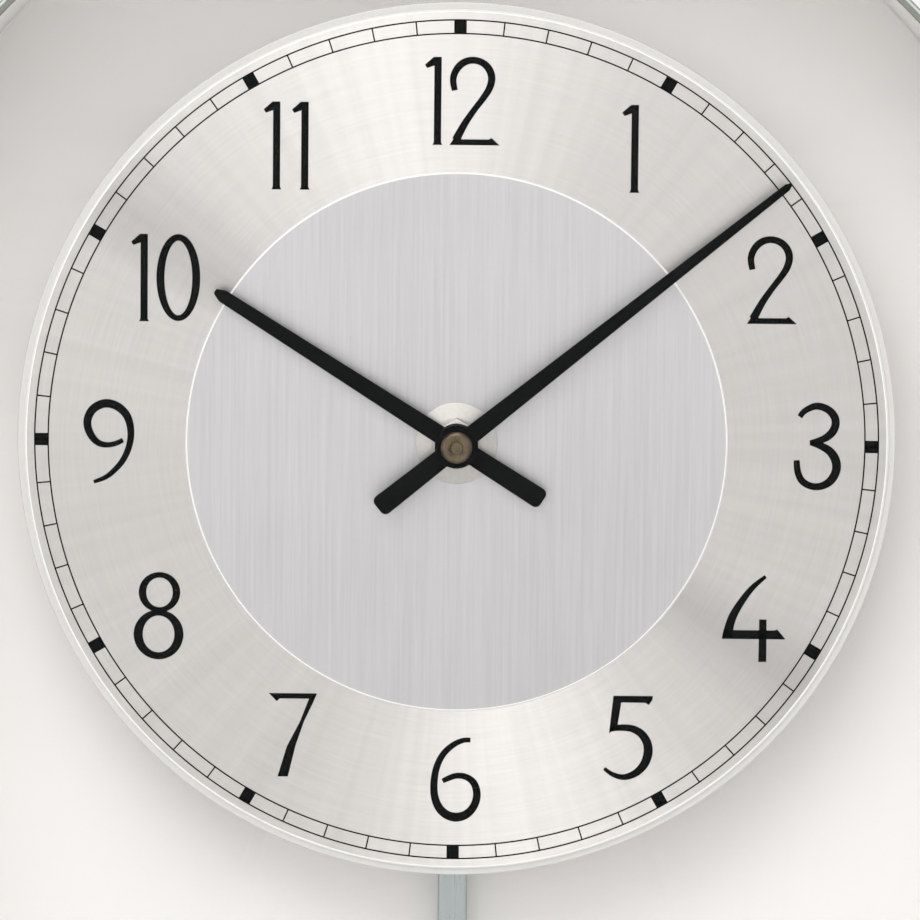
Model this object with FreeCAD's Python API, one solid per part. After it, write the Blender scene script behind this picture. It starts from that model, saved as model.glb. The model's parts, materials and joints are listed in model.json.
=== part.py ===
"""Pendulum wall clock with an arched case, quartz movement and hinged glass door.

Millimetres, +Z up, the clock faces -Y. The origin lies on the wall plane, straight behind the
arbor that carries the hands. Depths are measured from the wall towards the viewer.
"""
import FreeCAD, Part
import math
import os

V = FreeCAD.Vector

# ---------------------------------------------------------------- driving dimensions
# case
case_radius = 156.0        # outside of the arch, so the case is twice this wide
case_drop = 494.0          # from the hand arbor down to the underside
case_depth = 74.0          # wall to the front edge of the band
band_wall = 2.5
band_bevel = 0.5
panel_gap = 8.0            # air between the wall and the back panel
panel_thick = 3.0
panel_clear = 0.3
panel_bite = 2.2           # how far the screws from behind go into the panel
access_half = 33.0         # half the side of the square access hole behind the movement
access_corner = 5.0

# door
glass_thick = 3.0
glass_gap = 0.4            # air between the band and the glass
glass_inset = 0.5          # glass edge inside the outside of the band
glass_bevel = 0.6
hinge_drops = (70.0, 430.0)   # below the arbor
knob_drop = 190.0

# dial
dial_radius = 107.75
dial_thick = 1.2
dial_bevel = 0.45
centre_radius = 67.6
centre_thick = 0.6
centre_bevel = 0.3
carrier_radius = 109.5
carrier_thick = 2.0
post_radius = 4.0
post_circle = 84.0

# movement
housing_half = 28.0
housing_top = 28.0
housing_bottom = 78.0
housing_wall = 1.5
housing_thick = 18.0
split_depth = 9.0          # from the rear face to the joint between the covers
gasket_thick = 1.0
bush_radius = 4.0
battery_radius = 7.1
battery_length = 49.0
battery_height = 19.4
motion_centre = 8.4        # arbor distance of the motion work
train_module = 0.2
arbor_run = 0.05           # running clearance on the radius of every arbor
tooth_rise = 0.6           # tooth height above and below the pitch circle, in modules
tooth_fall = 1.0
root_share = 0.24          # half the width of a tooth at its root and tip, in pitches
tip_share = 0.1

# hands
hour_angle = 302.2
minute_angle = 51.2
hour_reach = 71.0
hour_tail = 25.5
hour_root_width = 5.1
hour_tip_width = 3.2
minute_reach = 105.0
minute_tail = 24.8
minute_root_width = 5.3
minute_tip_width = 1.8
hand_thick = 0.6
hand_boss_radius = 5.4
hand_tail_round = 1.5
hour_point = 2.2           # length of the pointed end
minute_point = 1.2
hand_tip_flat = 0.18       # half of the flat at the tip, in tip widths
hand_lift = 0.6            # from the back of the boss to the bar
hand_boss_bevel = 0.3
hand_nut_radius = 3.9
hand_nut_round = 0.6
hand_nut_top = 0.4         # metal over the end of the arbor

# pendulum
pivot_drop = 32.0
pendulum_length = 343.0    # pivot to the centre of the bob
pendulum_swing = 8.0
rod_width = 7.5
rod_thick = 2.0
rod_behind = 5.5           # middle of the rod, behind the movement
pendulum_room = 13.0       # from the panel to the back of the movement
bob_radius = 50.0
bob_weight_radius = 44.0
bob_weight_thick = 8.0

# fasteners
m3 = 1.5
m3_head = 2.8
m2 = 1.0
m2_head = 1.9

# case: small sizes
bracket_width = 18.0
bracket_reach = 5.5        # length of the leg on the case wall
bracket_leg = 12.0
bracket_thick = 1.5
side_bracket_drops = (90.0, 380.0)
corner_leg = 24.0
corner_width = 30.0
corner_thick = 2.0
hanger_height = 120.0
hanger_half = 34.0
hanger_tall = 26.0
hanger_thick = 1.5
hanger_stand = 4.5         # plate face to panel
keyhole_radius = 4.5
keyhole_slot = 2.25
keyhole_rise = 9.0
hanger_foot = 11.0
bumper_radius = 6.0
bumper_peg = 1.6

# door: small sizes
hinge_pin_radius = 0.9
hinge_barrel = 1.9
hinge_reach = 2.6          # hinge axis outside the band
hinge_forward = 0.5        # hinge axis behind the face of the glass
leaf_tall = 30.0
leaf_thick = 1.2
leaf_depth = 24.0
leaf_width = 20.0
leaf_holes = (-9.0, 9.0)
barrel_gap = 0.2
knob_screw_radius = 1.5
strike_radius = 6.0
strike_thick = 1.5
magnet_radius = 5.0
magnet_length = 5.0
magnet_air = 0.3
catch_wall = 1.6

# movement housing: small sizes
washer_radius = 10.2
washer_thick = 0.8
nut_radius = 6.6
nut_thick = 2.4
tube_radius = 2.6
tube_bore = 1.85
arbor_seat = 1.4
pivot_pin_radius = 1.0
partition_z = 10.6
partition_thick = 0.8
boss_radius = 2.0
housing_corner = 4.0
screw_inset = 3.6
pinion_leaves = 6
intermediate_teeth = 60
third_teeth = 72
centre_teeth = 90
wheel_thick = 0.8
pinion_thick = 1.8
arbor_thin = 0.5
third_heading = 135.0
intermediate_heading = 135.0
rotor_heading = 200.0
rotor_magnet_radius = 3.0
boss_hole = 1.2
stop_radius = 1.0
lever_half = 3.5
stop_drop = 38.0           # below the pendulum pivot
stop_height = 4.0

# battery and electronics: small sizes
contact_thick = 0.4
contact_half = 4.4
board_thick = 1.0
stator_thick = 1.2
coil_height = -22.5
coil_span = (-19.0, -2.0)

# wheels: small sizes
arbor_rear_radius = 1.5
collar_radius = 2.6
cannon_teeth = 12
reversing_teeth = 36
reversing_leaves = 10
hour_teeth = 40
hour_wheel_thick = 1.0
hand_nut_thick = 2.4
collar_thick = 0.8
knob_radius = 5.5
knob_thick = 3.2

# pendulum: small sizes
lever_end = 40.0
magnet_drop = 30.0
pendulum_magnet_radius = 4.5
pendulum_magnet_thick = 2.0
stud_drop = 25.0
stud_radius = 1.5
stud_head = 2.5
clip_thick = 0.6
rod_above_stud = 7.0
bob_disc_thick = 2.4
rating_thick = 5.0
rod_end_radius = 1.5
rod_end_length = 22.0

# ---------------------------------------------------------------- derived depths
panel_front = panel_gap + panel_thick
post_length = pendulum_room + housing_thick + gasket_thick
carrier_back = panel_front + post_length
dial_back = carrier_back + carrier_thick
dial_front = dial_back + dial_thick
centre_front = dial_front + centre_thick
movement_front = carrier_back - gasket_thick
movement_rear = movement_front - housing_thick
movement_split = movement_rear + split_depth
inner_front = movement_front - housing_wall
inner_rear = movement_rear + housing_wall
glass_back = case_depth + glass_gap
glass_front = glass_back + glass_thick
rod_depth = movement_rear - rod_behind
pivot_z = -pivot_drop
bob_z = pivot_z - pendulum_length


# ---------------------------------------------------------------- helpers
def at(x, depth, z):
    """A point given by its depth from the wall."""
    return V(x, -depth, z)


def disc(radius, near, far, x=0.0, z=0.0):
    """A round bar along the depth, from one depth to another."""
    return Part.makeCylinder(radius, far - near, at(x, near, z), V(0, -1, 0))


def ring(outer, inner, near, far, x=0.0, z=0.0):
    """A round bar with a hole."""
    return disc(outer, near, far, x, z).cut(disc(inner, near - 1, far + 1, x, z))


def cone(near_radius, far_radius, near, far, x=0.0, z=0.0):
    """A round taper along the depth."""
    return Part.makeCone(near_radius, far_radius, far - near, at(x, near, z), V(0, -1, 0))


def block(x0, x1, near, far, z0, z1):
    """A box between two depths."""
    return Part.makeBox(x1 - x0, far - near, z1 - z0, V(x0, -far, z0))


def prism(points, near, far):
    """A straight-sided plate from its outline in X and Z."""
    corners = [at(x, near, z) for x, z in points]
    face = Part.Face(Part.makePolygon(corners + [corners[0]]))
    return face.extrude(V(0, near - far, 0))


def arch(radius, drop, near, far):
    """A plate with a round top and a square foot."""
    right, top, left = at(radius, near, 0), at(0, near, radius), at(-radius, near, 0)
    foot_left, foot_right = at(-radius, near, -drop), at(radius, near, -drop)
    edges = [Part.Arc(right, top, left).toShape()]
    edges.append(Part.makeLine(left, foot_left))
    edges.append(Part.makeLine(foot_left, foot_right))
    edges.append(Part.makeLine(foot_right, right))
    return Part.Face(Part.Wire(edges)).extrude(V(0, near - far, 0))


def edges_at_depth(shape, depth, keep=lambda edge: True):
    """The edges that lie wholly at one depth."""
    found = []
    for edge in shape.Edges:
        box = edge.BoundBox
        if abs(box.YMin + depth) < 1e-6 and abs(box.YMax + depth) < 1e-6 and keep(edge):
            found.append(edge)
    return found


def round_box(x0, x1, near, far, z0, z1, radius):
    """A box with its four depth-wise edges rounded."""
    body = block(x0, x1, near, far, z0, z1)
    upright = [e for e in body.Edges if e.BoundBox.YLength > far - near - 1e-6]
    return body.makeFillet(radius, upright)


def turned(shape, angle, x=0.0, z=0.0):
    """Turned clockwise, as seen from the front, about a depth-wise axis."""
    result = shape.copy()
    result.rotate(V(x, 0, z), V(0, 1, 0), angle)
    return result


def screw(radius, head_radius, head_point, direction, length, head_height):
    """A pan-head socket screw: the head stands behind head_point, the shank goes on from it."""
    head = Part.makeCylinder(head_radius, head_height, head_point - direction * head_height, direction)
    head = head.makeFillet(head_height * 0.45, [top_edge(head, direction)])
    socket = Part.makeCylinder(head_radius * 0.42, head_height * 0.5,
                               head_point - direction * head_height, direction)
    shank = Part.makeCylinder(radius, length, head_point, direction)
    return head.cut(socket).fuse(shank).removeSplitter()


def top_edge(head, direction):
    """The round edge of a screw head that faces away from the work."""
    circles = [e for e in head.Edges if isinstance(e.Curve, Part.Circle)]
    return min(circles, key=lambda e: e.Curve.Center.dot(direction))


def gear(teeth, module, near, far, x, z, phase, bore):
    """A spur gear; phase is the clockwise angle from +Z to the middle of a tooth."""
    pitch = teeth * module / 2
    tip = pitch + tooth_rise * module
    root = pitch - tooth_fall * module
    step = 2 * math.pi / teeth
    points = []
    for tooth in range(teeth):
        middle = math.radians(phase) + tooth * step
        for radius, share in ((root, -root_share), (tip, -tip_share), (tip, tip_share), (root, root_share)):
            angle = middle + share * step
            points.append((x + radius * math.sin(angle), z + radius * math.cos(angle)))
    body = prism(points, near, far)
    return body.cut(disc(bore, near - 1, far + 1, x, z)) if bore else body


def save(name, shapes):
    """Writes one node, from one solid or from a group of separate solids."""
    solids = []
    for shape in shapes if isinstance(shapes, list) else [shapes]:
        solids.extend(shape.Solids)
    shape = solids[0] if len(solids) == 1 else Part.makeCompound(solids)
    shape.exportStep(os.path.join("parts", name + ".step"))
    print(f"{name}: {len(solids)} solids, {sum(s.Volume for s in solids):.2f} mm3")


# ---------------------------------------------------------------- case
inner_radius = case_radius - band_wall
corner_depth = case_depth / 2
corner_hole = corner_leg * 0.62


def case_band():
    """One strip bent to the arch and down both sides, with its edges eased."""
    outer = arch(case_radius, case_drop, 0, case_depth)
    band = outer.cut(arch(inner_radius, case_drop + 10, -1, case_depth + 1))
    long_edges = edges_at_depth(band, case_depth, lambda e: e.Length > band_wall * 2)
    long_edges += edges_at_depth(band, 0, lambda e: e.Length > band_wall * 2)
    band = band.makeChamfer(band_bevel, long_edges)
    for start, direction in corner_screws_side() + hoop_screws() + [catch_screw()]:
        band = band.cut(Part.makeCylinder(m3, 2 * band_wall, start, direction))
    for drop in hinge_drops:
        for offset in leaf_holes:
            hole = at(-case_radius - 1, leaf_screw_depth, -drop + offset)
            band = band.cut(Part.makeCylinder(m2, band_wall + 2, hole, V(1, 0, 0)))
    return band


def bottom_rail():
    """The flat foot of the case, between the ends of the band."""
    rail = block(-inner_radius, inner_radius, 0, case_depth, -case_drop, -case_drop + band_wall)
    for start, direction in corner_screws_foot() + [foot_bracket_screw()]:
        rail = rail.cut(Part.makeCylinder(m3, 2 * band_wall, start, direction))
    return rail


def corner_screws_side():
    """Heads and directions of the screws through the corner brackets into the sides."""
    z = -case_drop + band_wall + corner_hole
    x = inner_radius - corner_thick
    spread = corner_width * 0.28
    found = []
    for side in (-1, 1):
        for shift in (-spread, spread):
            found.append((at(side * x, corner_depth + shift, z), V(side, 0, 0)))
    return found


def corner_screws_foot():
    """Heads and directions of the screws through the corner brackets into the foot."""
    z = -case_drop + band_wall + corner_thick
    x = inner_radius - corner_hole
    spread = corner_width * 0.28
    found = []
    for side in (-1, 1):
        for shift in (-spread, spread):
            found.append((at(side * x, corner_depth + shift, z), V(0, 0, -1)))
    return found


def corner_brackets():
    """Two angles that join the foot to the sides."""
    near, far = corner_depth - corner_width / 2, corner_depth + corner_width / 2
    floor = -case_drop + band_wall
    found = []
    for side in (-1, 1):
        edge = side * inner_radius
        upright = sorted((edge, edge - side * corner_thick))
        flat = sorted((edge, edge - side * corner_leg))
        angle = block(*upright, near, far, floor, floor + corner_leg)
        angle = angle.fuse(block(*flat, near, far, floor, floor + corner_thick)).removeSplitter()
        for start, direction in corner_screws_side() + corner_screws_foot():
            angle = angle.cut(Part.makeCylinder(m3, 3 * corner_thick, start - direction * 2 * corner_thick,
                                                direction))
        found.append(angle)
    return found


def hoop_screws():
    """Heads and directions of the screws through the panel brackets into the band."""
    depth = panel_gap - bracket_thick - m3_head
    crown_z = math.sqrt((inner_radius - bracket_thick) ** 2 - m3_head ** 2)
    found = [(at(0, depth, crown_z), V(0, 0, 1))]
    for drop in side_bracket_drops:
        for side in (-1, 1):
            found.append((at(side * (inner_radius - bracket_thick), depth, -drop), V(side, 0, 0)))
    return found


def foot_bracket_screw():
    """Head and direction of the screw through the lowest panel bracket into the foot."""
    depth = panel_gap - bracket_thick - m3_head
    return at(0, depth, -case_drop + band_wall + bracket_thick), V(0, 0, -1)


def panel_screws():
    """Heads and directions of the screws through the panel brackets into the panel."""
    inset = bracket_leg * 0.6
    heads = [(0, inner_radius - inset), (0, -case_drop + band_wall + inset)]
    for drop in side_bracket_drops:
        for side in (-1, 1):
            heads.append((side * (inner_radius - inset), -drop))
    return [(at(x, panel_gap - bracket_thick, z), V(0, -1, 0)) for x, z in heads]


def bracket(x, z, out_x, out_z, curved):
    """An angle behind the panel: one leg on the panel, the other on the case wall."""
    far = panel_gap
    half = bracket_width / 2
    leg_depth = bracket_thick + bracket_reach
    if curved:
        wedge = block(-half, half, far - leg_depth, far, inner_radius - bracket_leg, case_radius)
        wall = ring(inner_radius, inner_radius - bracket_thick, far - leg_depth, far)
        shelf = ring(inner_radius, inner_radius - bracket_leg, far - bracket_thick, far)
        angle = wall.fuse(shelf).common(wedge).removeSplitter()
    elif out_x:
        wall = sorted((x, x - out_x * bracket_thick))
        shelf = sorted((x, x - out_x * bracket_leg))
        angle = block(*wall, far - leg_depth, far, z - half, z + half)
        angle = angle.fuse(block(*shelf, far - bracket_thick, far, z - half, z + half)).removeSplitter()
    else:
        angle = block(-half, half, far - leg_depth, far, z, z + bracket_thick)
        angle = angle.fuse(block(-half, half, far - bracket_thick, far, z, z + bracket_leg))
        angle = angle.removeSplitter()
    for start, direction in hoop_screws() + [foot_bracket_screw()] + panel_screws():
        angle = angle.cut(Part.makeCylinder(m3, 2 * bracket_thick + 2, start - direction * 2, direction))
    return angle


def panel_brackets():
    """Six angles that hold the back panel in the band."""
    found = [bracket(0, inner_radius, 0, 1, True)]
    for drop in side_bracket_drops:
        for side in (-1, 1):
            found.append(bracket(side * inner_radius, -drop, side, 0, False))
    found.append(bracket(0, -case_drop + band_wall, 0, -1, False))
    return found


def back_panel():
    """The lacquered sheet that closes the case, with the access hole behind the movement."""
    panel = arch(inner_radius - panel_clear, case_drop - band_wall - panel_clear, panel_gap, panel_front)
    panel = panel.cut(round_box(-access_half, access_half, panel_gap - 1, panel_front + 1,
                                -access_half, access_half, access_corner))
    for start, direction in panel_screws():
        panel = panel.cut(Part.makeCylinder(m3, bracket_thick + panel_bite, start, direction))
    for start, direction in hanger_screw_places():
        panel = panel.cut(Part.makeCylinder(m3, hanger_thick + panel_bite, start, direction))
    for x, z in post_places():
        panel = panel.cut(disc(m3, panel_gap - 1, panel_front + 1, x, z))
    for x, z in bumper_places():
        panel = panel.cut(disc(bumper_peg, panel_gap - 1, panel_gap + 2, x, z))
    return panel


# hanger: a hat-section plate with a keyhole


def hanger_screw_places():
    """Heads and directions of the screws that hold the hanger to the panel."""
    x = hanger_half - hanger_foot / 2
    return [(at(side * x, panel_gap - hanger_thick, hanger_height), V(0, -1, 0)) for side in (-1, 1)]


def hanger_plate():
    """The hanger stands off the panel so that a screw head fits behind it."""
    z0, z1 = hanger_height - hanger_tall / 2, hanger_height + hanger_tall / 2
    face_far = panel_gap - hanger_stand + hanger_thick
    face_near = face_far - hanger_thick
    knee = hanger_half - hanger_foot
    plate = block(-knee, knee, face_near, face_far, z0, z1)
    for side in (-1, 1):
        web = sorted((side * knee, side * (knee - hanger_thick)))
        foot = sorted((side * hanger_half, side * (knee - hanger_thick)))
        plate = plate.fuse(block(*web, face_near, panel_gap, z0, z1))
        plate = plate.fuse(block(*foot, panel_gap - hanger_thick, panel_gap, z0, z1))
    hole = disc(keyhole_radius, -1, face_far + 0.5, 0, hanger_height - keyhole_rise / 2)
    slot = block(-keyhole_slot, keyhole_slot, -1, face_far + 0.5, hanger_height - keyhole_rise / 2,
                 hanger_height + keyhole_rise / 2)
    end = disc(keyhole_slot, -1, face_far + 0.5, 0, hanger_height + keyhole_rise / 2)
    plate = plate.removeSplitter().cut(hole.fuse([slot, end]))
    for start, direction in hanger_screw_places():
        plate = plate.cut(Part.makeCylinder(m3, 2 * hanger_thick, start - direction * 0.5, direction))
    return plate


bumper_inset = 24.0        # from the side wall
bumper_rise = 26.0         # above the foot of the case
bumper_round = 1.2


def bumper_places():
    """The two wall bumpers near the foot."""
    return [(side * (inner_radius - bumper_inset), bumper_rise - case_drop) for side in (-1, 1)]


def wall_bumpers():
    """Rubber buttons with a peg pressed into the panel."""
    found = []
    for x, z in bumper_places():
        button = disc(bumper_radius, 0, panel_gap, x, z)
        button = button.makeFillet(bumper_round, edges_at_depth(button, 0))
        found.append(button.fuse(disc(bumper_peg, panel_gap - 0.5, panel_gap + 2, x, z)).removeSplitter())
    return found


# ---------------------------------------------------------------- door
leaf_screw_depth = case_depth - leaf_depth * 0.55
hinge_x = -case_radius - hinge_reach
hinge_depth = glass_front - hinge_forward
glass_radius = case_radius - glass_inset
knob_inset = 8.0
knob_stem_radius = 3.4
knob_stem = 5.0
knob_cap_radius = 5.5
knob_cap = 6.0
knob_cap_round = 1.2
knob_screw_reach = 7.0     # into the knob, from the face of the glass
knob_screw_head = 0.8
door_knob_x = inner_radius - knob_inset
knob_cap_near = glass_front + knob_stem
knob_cap_far = knob_cap_near + knob_cap


def barrel(drop, upper):
    """Half of a hinge knuckle, above or below its middle."""
    start = -drop + barrel_gap / 2 if upper else -drop - leaf_tall / 2
    length = leaf_tall / 2 - (barrel_gap / 2)
    return Part.makeCylinder(hinge_barrel, length, at(hinge_x, hinge_depth, start), V(0, 0, 1))


def case_hinge_leaves():
    """Plates on the outside of the band, with the lower half of each knuckle."""
    found = []
    for drop in hinge_drops:
        z0, z1 = -drop - leaf_tall / 2, -drop - barrel_gap / 2
        leaf = block(-case_radius - leaf_thick, -case_radius, case_depth - leaf_depth, case_depth - 1,
                     -drop - leaf_tall / 2, -drop + leaf_tall / 2)
        tongue = block(-case_radius - leaf_thick, -case_radius, case_depth - 2, hinge_depth, z0, z1)
        leaf = leaf.fuse([tongue, barrel(drop, False)]).removeSplitter()
        leaf = leaf.cut(Part.makeCylinder(hinge_pin_radius, leaf_tall, at(hinge_x, hinge_depth, z0),
                                          V(0, 0, 1)))
        for offset in leaf_holes:
            hole = at(-case_radius - 5, leaf_screw_depth, -drop + offset)
            leaf = leaf.cut(Part.makeCylinder(m2, 5, hole, V(1, 0, 0)))
        found.append(leaf)
    return found


def door_hinge_leaves():
    """Plates bonded to the face of the glass, with the upper half of each knuckle."""
    found = []
    for drop in hinge_drops:
        z0, z1 = -drop + barrel_gap / 2, -drop + leaf_tall / 2
        plate = round_box(-glass_radius, -glass_radius + leaf_width, glass_front, glass_front + leaf_thick,
                          -drop - leaf_tall / 2, -drop + leaf_tall / 2, 2.0)
        arm = block(hinge_x, -glass_radius + 4, glass_front, glass_front + leaf_thick, z0, z1)
        leaf = plate.fuse([arm, barrel(drop, True)]).removeSplitter()
        bore = Part.makeCylinder(hinge_pin_radius + arbor_run, leaf_tall, at(hinge_x, hinge_depth, -drop),
                                 V(0, 0, 1))
        found.append(leaf.cut(bore))
    return found


def hinge_pins():
    """Pins pressed into the case leaves."""
    length = leaf_tall - 0.4
    return [Part.makeCylinder(hinge_pin_radius, length, at(hinge_x, hinge_depth, -drop - leaf_tall / 2 + 0.2),
                              V(0, 0, 1)) for drop in hinge_drops]


def hinge_leaf_screws():
    """Small screws through the case leaves into the band."""
    found = []
    for drop in hinge_drops:
        for offset in leaf_holes:
            head = at(-case_radius - leaf_thick, leaf_screw_depth, -drop + offset)
            found.append(screw(m2, m2_head, head, V(1, 0, 0), leaf_thick + band_wall, 1.2))
    return found


def door_glass():
    """Flat mineral glass with a ground edge, arched like the case."""
    glass = arch(glass_radius, case_drop - glass_inset, glass_back, glass_front)
    glass = glass.makeChamfer(glass_bevel, edges_at_depth(glass, glass_front))
    return glass.cut(disc(knob_screw_radius, glass_back - 1, glass_front + 1, door_knob_x, -knob_drop))


def door_knob():
    """A turned knob on the face of the glass."""
    knob = disc(knob_stem_radius, glass_front, knob_cap_near, door_knob_x, -knob_drop)
    cap = disc(knob_cap_radius, knob_cap_near, knob_cap_far, door_knob_x, -knob_drop)
    cap = cap.makeFillet(knob_cap_round, edges_at_depth(cap, knob_cap_far))
    knob = knob.fuse(cap).removeSplitter()
    return knob.cut(disc(knob_screw_radius, glass_front - 1, glass_front + knob_screw_reach, door_knob_x,
                         -knob_drop))


def strike_disc():
    """A steel disc behind the glass, held by the knob screw, that the magnet pulls."""
    return ring(strike_radius, knob_screw_radius, glass_back - strike_thick, glass_back,
                door_knob_x, -knob_drop)


def knob_screw():
    """The screw through strike disc and glass into the knob, with a thin flush head."""
    near = glass_back - strike_thick
    head = disc(m3_head, near - knob_screw_head, near, door_knob_x, -knob_drop)
    shank = disc(knob_screw_radius, near - knob_screw_head / 2, glass_front + knob_screw_reach, door_knob_x,
                 -knob_drop)
    return head.fuse(shank).removeSplitter()


catch_screw_inset = 5.0    # behind the cup
catch_half = 6.0
catch_neck_half = 4.0
catch_arm = 10.0           # length of the arm behind the cup
catch_face = glass_back - strike_thick - knob_screw_head - magnet_air


def catch_screw():
    """Head and direction of the screw that holds the catch to the band."""
    depth = catch_face - magnet_length - catch_wall - catch_screw_inset
    return at(inner_radius - catch_wall, depth, -knob_drop), V(1, 0, 0)


def catch_bracket():
    """A cup on the inside of the band that carries the magnet."""
    far = catch_face
    cup = disc(magnet_radius + catch_wall, far - magnet_length - catch_wall, far, door_knob_x, -knob_drop)
    arm = block(inner_radius - catch_wall, inner_radius, far - magnet_length - catch_wall - catch_arm, far,
                -knob_drop - catch_half, -knob_drop + catch_half)
    neck = block(door_knob_x, inner_radius, far - magnet_length - catch_wall, far,
                 -knob_drop - catch_neck_half, -knob_drop + catch_neck_half)
    bracket_body = cup.fuse([arm, neck]).common(block(-inner_radius, inner_radius, 0, case_depth,
                                                      -case_drop, 0)).removeSplitter()
    bracket_body = bracket_body.cut(disc(magnet_radius, far - magnet_length, far + 1, door_knob_x,
                                         -knob_drop))
    start, direction = catch_screw()
    return bracket_body.cut(Part.makeCylinder(m3, 6, start - direction * 2, direction))


# ---------------------------------------------------------------- dial
def post_places():
    """Four posts on the diagonals."""
    places = []
    for quarter in range(4):
        angle = math.radians(45 + 90 * quarter)
        places.append((post_circle * math.cos(angle), post_circle * math.sin(angle)))
    return places


def dial_posts():
    """Round posts between panel and dial carrier, tapped at both ends."""
    return [ring(post_radius, m3, panel_front, carrier_back, x, z) for x, z in post_places()]


def dial_carrier():
    """The stiff plate that the dial is bonded to and the movement is clamped in."""
    plate = ring(carrier_radius, bush_radius + 0.15, carrier_back, dial_back)
    for x, z in post_places():
        plate = plate.cut(disc(m3, carrier_back - 1, dial_back + 1, x, z))
        sink = cone(m3, m3_head, dial_back - (m3_head - m3), dial_back, x, z)
        plate = plate.cut(sink)
    return plate


def carrier_screws():
    """Countersunk screws, flush under the dial."""
    found = []
    for x, z in post_places():
        head = cone(m3, m3_head, dial_back - (m3_head - m3), dial_back, x, z)
        shank = disc(m3, dial_back - 9, dial_back - 0.5, x, z)
        body = head.fuse(shank).removeSplitter()
        cross = block(x - 1.4, x + 1.4, dial_back - 0.7, dial_back + 1, z - 0.25, z + 0.25)
        found.append(body.cut(cross))
    return found


def post_screws():
    """Screws from behind the panel into the posts."""
    return [screw(m3, m3_head, at(x, panel_gap, z), V(0, -1, 0), panel_thick + 8, 1.8)
            for x, z in post_places()]


def dial_ring():
    """The round dial plate, its edge bevelled."""
    plate = disc(dial_radius, dial_back, dial_front)
    plate = plate.makeChamfer(dial_bevel, edges_at_depth(plate, dial_front))
    return plate.cut(disc(bush_radius + 0.15, dial_back - 1, dial_front + 1))


def dial_centre_disc():
    """The centre disc on the dial plate, its edge bevelled."""
    plate = disc(centre_radius, dial_front, centre_front)
    plate = plate.makeChamfer(centre_bevel, edges_at_depth(plate, centre_front))
    return plate.cut(disc(bush_radius + 0.15, dial_front - 1, centre_front + 1))


# ---------------------------------------------------------------- movement housing
washer_front = centre_front + washer_thick
nut_front = washer_front + nut_thick
bush_proud = 0.4
bush_front = nut_front + bush_proud
arbor_radius = tube_bore - arbor_run

# going train: rotor, intermediate wheel, third wheel, centre wheel
first_plane = 3.5
plane_pitch = 2.8
intermediate_plane = inner_rear + first_plane
third_plane = intermediate_plane + plane_pitch
centre_plane = third_plane + plane_pitch


def mesh_distance(teeth):
    """The distance from a wheel of the going train to the pinion that drives it."""
    return (teeth + pinion_leaves) * train_module / 2


def beside(place, distance, angle):
    """A place at a distance, in a direction given clockwise from +Z."""
    turn = math.radians(angle)
    return place[0] + distance * math.sin(turn), place[1] + distance * math.cos(turn)


third_place = beside((0.0, 0.0), mesh_distance(centre_teeth), third_heading)
intermediate_place = beside(third_place, mesh_distance(third_teeth), intermediate_heading)
rotor_place = beside(intermediate_place, mesh_distance(intermediate_teeth), rotor_heading)
reversing_place = (-motion_centre, 0.0)

rotor_magnet_near = inner_rear + 0.9
rotor_magnet_far = rotor_magnet_near + 2.0
third_boss_end = inner_rear + 11.6
intermediate_boss_end = inner_rear + 8.4
rotor_boss_end = inner_rear + 5.6


def arbor_seats():
    """Place, arbor radius, and depth of the end of the front boss for each thin arbor."""
    seats = [(third_place, third_boss_end), (intermediate_place, intermediate_boss_end)]
    return seats + [(rotor_place, rotor_boss_end)]


def housing_screw_places():
    """Screws at the corners of the housing."""
    places = []
    for x in (-housing_half + screw_inset, housing_half - screw_inset):
        for z in (-housing_bottom + screw_inset, partition_z - screw_inset):
            places.append((x, z))
    return places


def tray(near, far, open_far):
    """Half of the housing: a rounded box, hollow and open on one side."""
    body = round_box(-housing_half, housing_half, near, far, -housing_bottom, housing_top, housing_corner)
    hollow_near = near + housing_wall if open_far else near - 1
    hollow_far = far + 1 if open_far else far - housing_wall
    hollow = round_box(-housing_half + housing_wall, housing_half - housing_wall, hollow_near, hollow_far,
                       -housing_bottom + housing_wall, housing_top - housing_wall,
                       housing_corner - housing_wall)
    return body.cut(hollow)


def movement_front_cover():
    """The front half of the housing, with the threaded bush and the front bearings."""
    cover = tray(movement_split, movement_front, False)
    pieces = [disc(bush_radius, movement_front - 0.5, bush_front)]
    for (x, z), end in arbor_seats():
        pieces.append(disc(boss_radius - 0.4, end, inner_front + 0.2, x, z))
    pieces.append(disc(0.8, inner_front - 4.6, inner_front + 0.2, *reversing_place))
    pieces.append(block(-housing_half + 1, housing_half - 1, movement_split, inner_front + 0.2, partition_z,
                        partition_z + partition_thick))
    for x, z in housing_screw_places():
        pieces.append(disc(2.0, movement_split, inner_front + 0.2, x, z))
    cover = cover.fuse(pieces).removeSplitter()
    cover = cover.cut(disc(tube_radius + arbor_run, inner_front - 1, bush_front + 1))
    for (x, z), end in arbor_seats():
        cover = cover.cut(disc(arbor_thin + arbor_run, end - 1, end + boss_hole, x, z))
    for x, z in housing_screw_places():
        cover = cover.cut(disc(m2, movement_split - 1, movement_split + 6, x, z))
    return cover


def stop_x():
    """Half the spacing of the lever stops, from the swing of the pendulum."""
    swing = math.radians(pendulum_swing)
    return stop_drop * math.tan(swing) + lever_half / math.cos(swing) + stop_radius + 0.3


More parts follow.
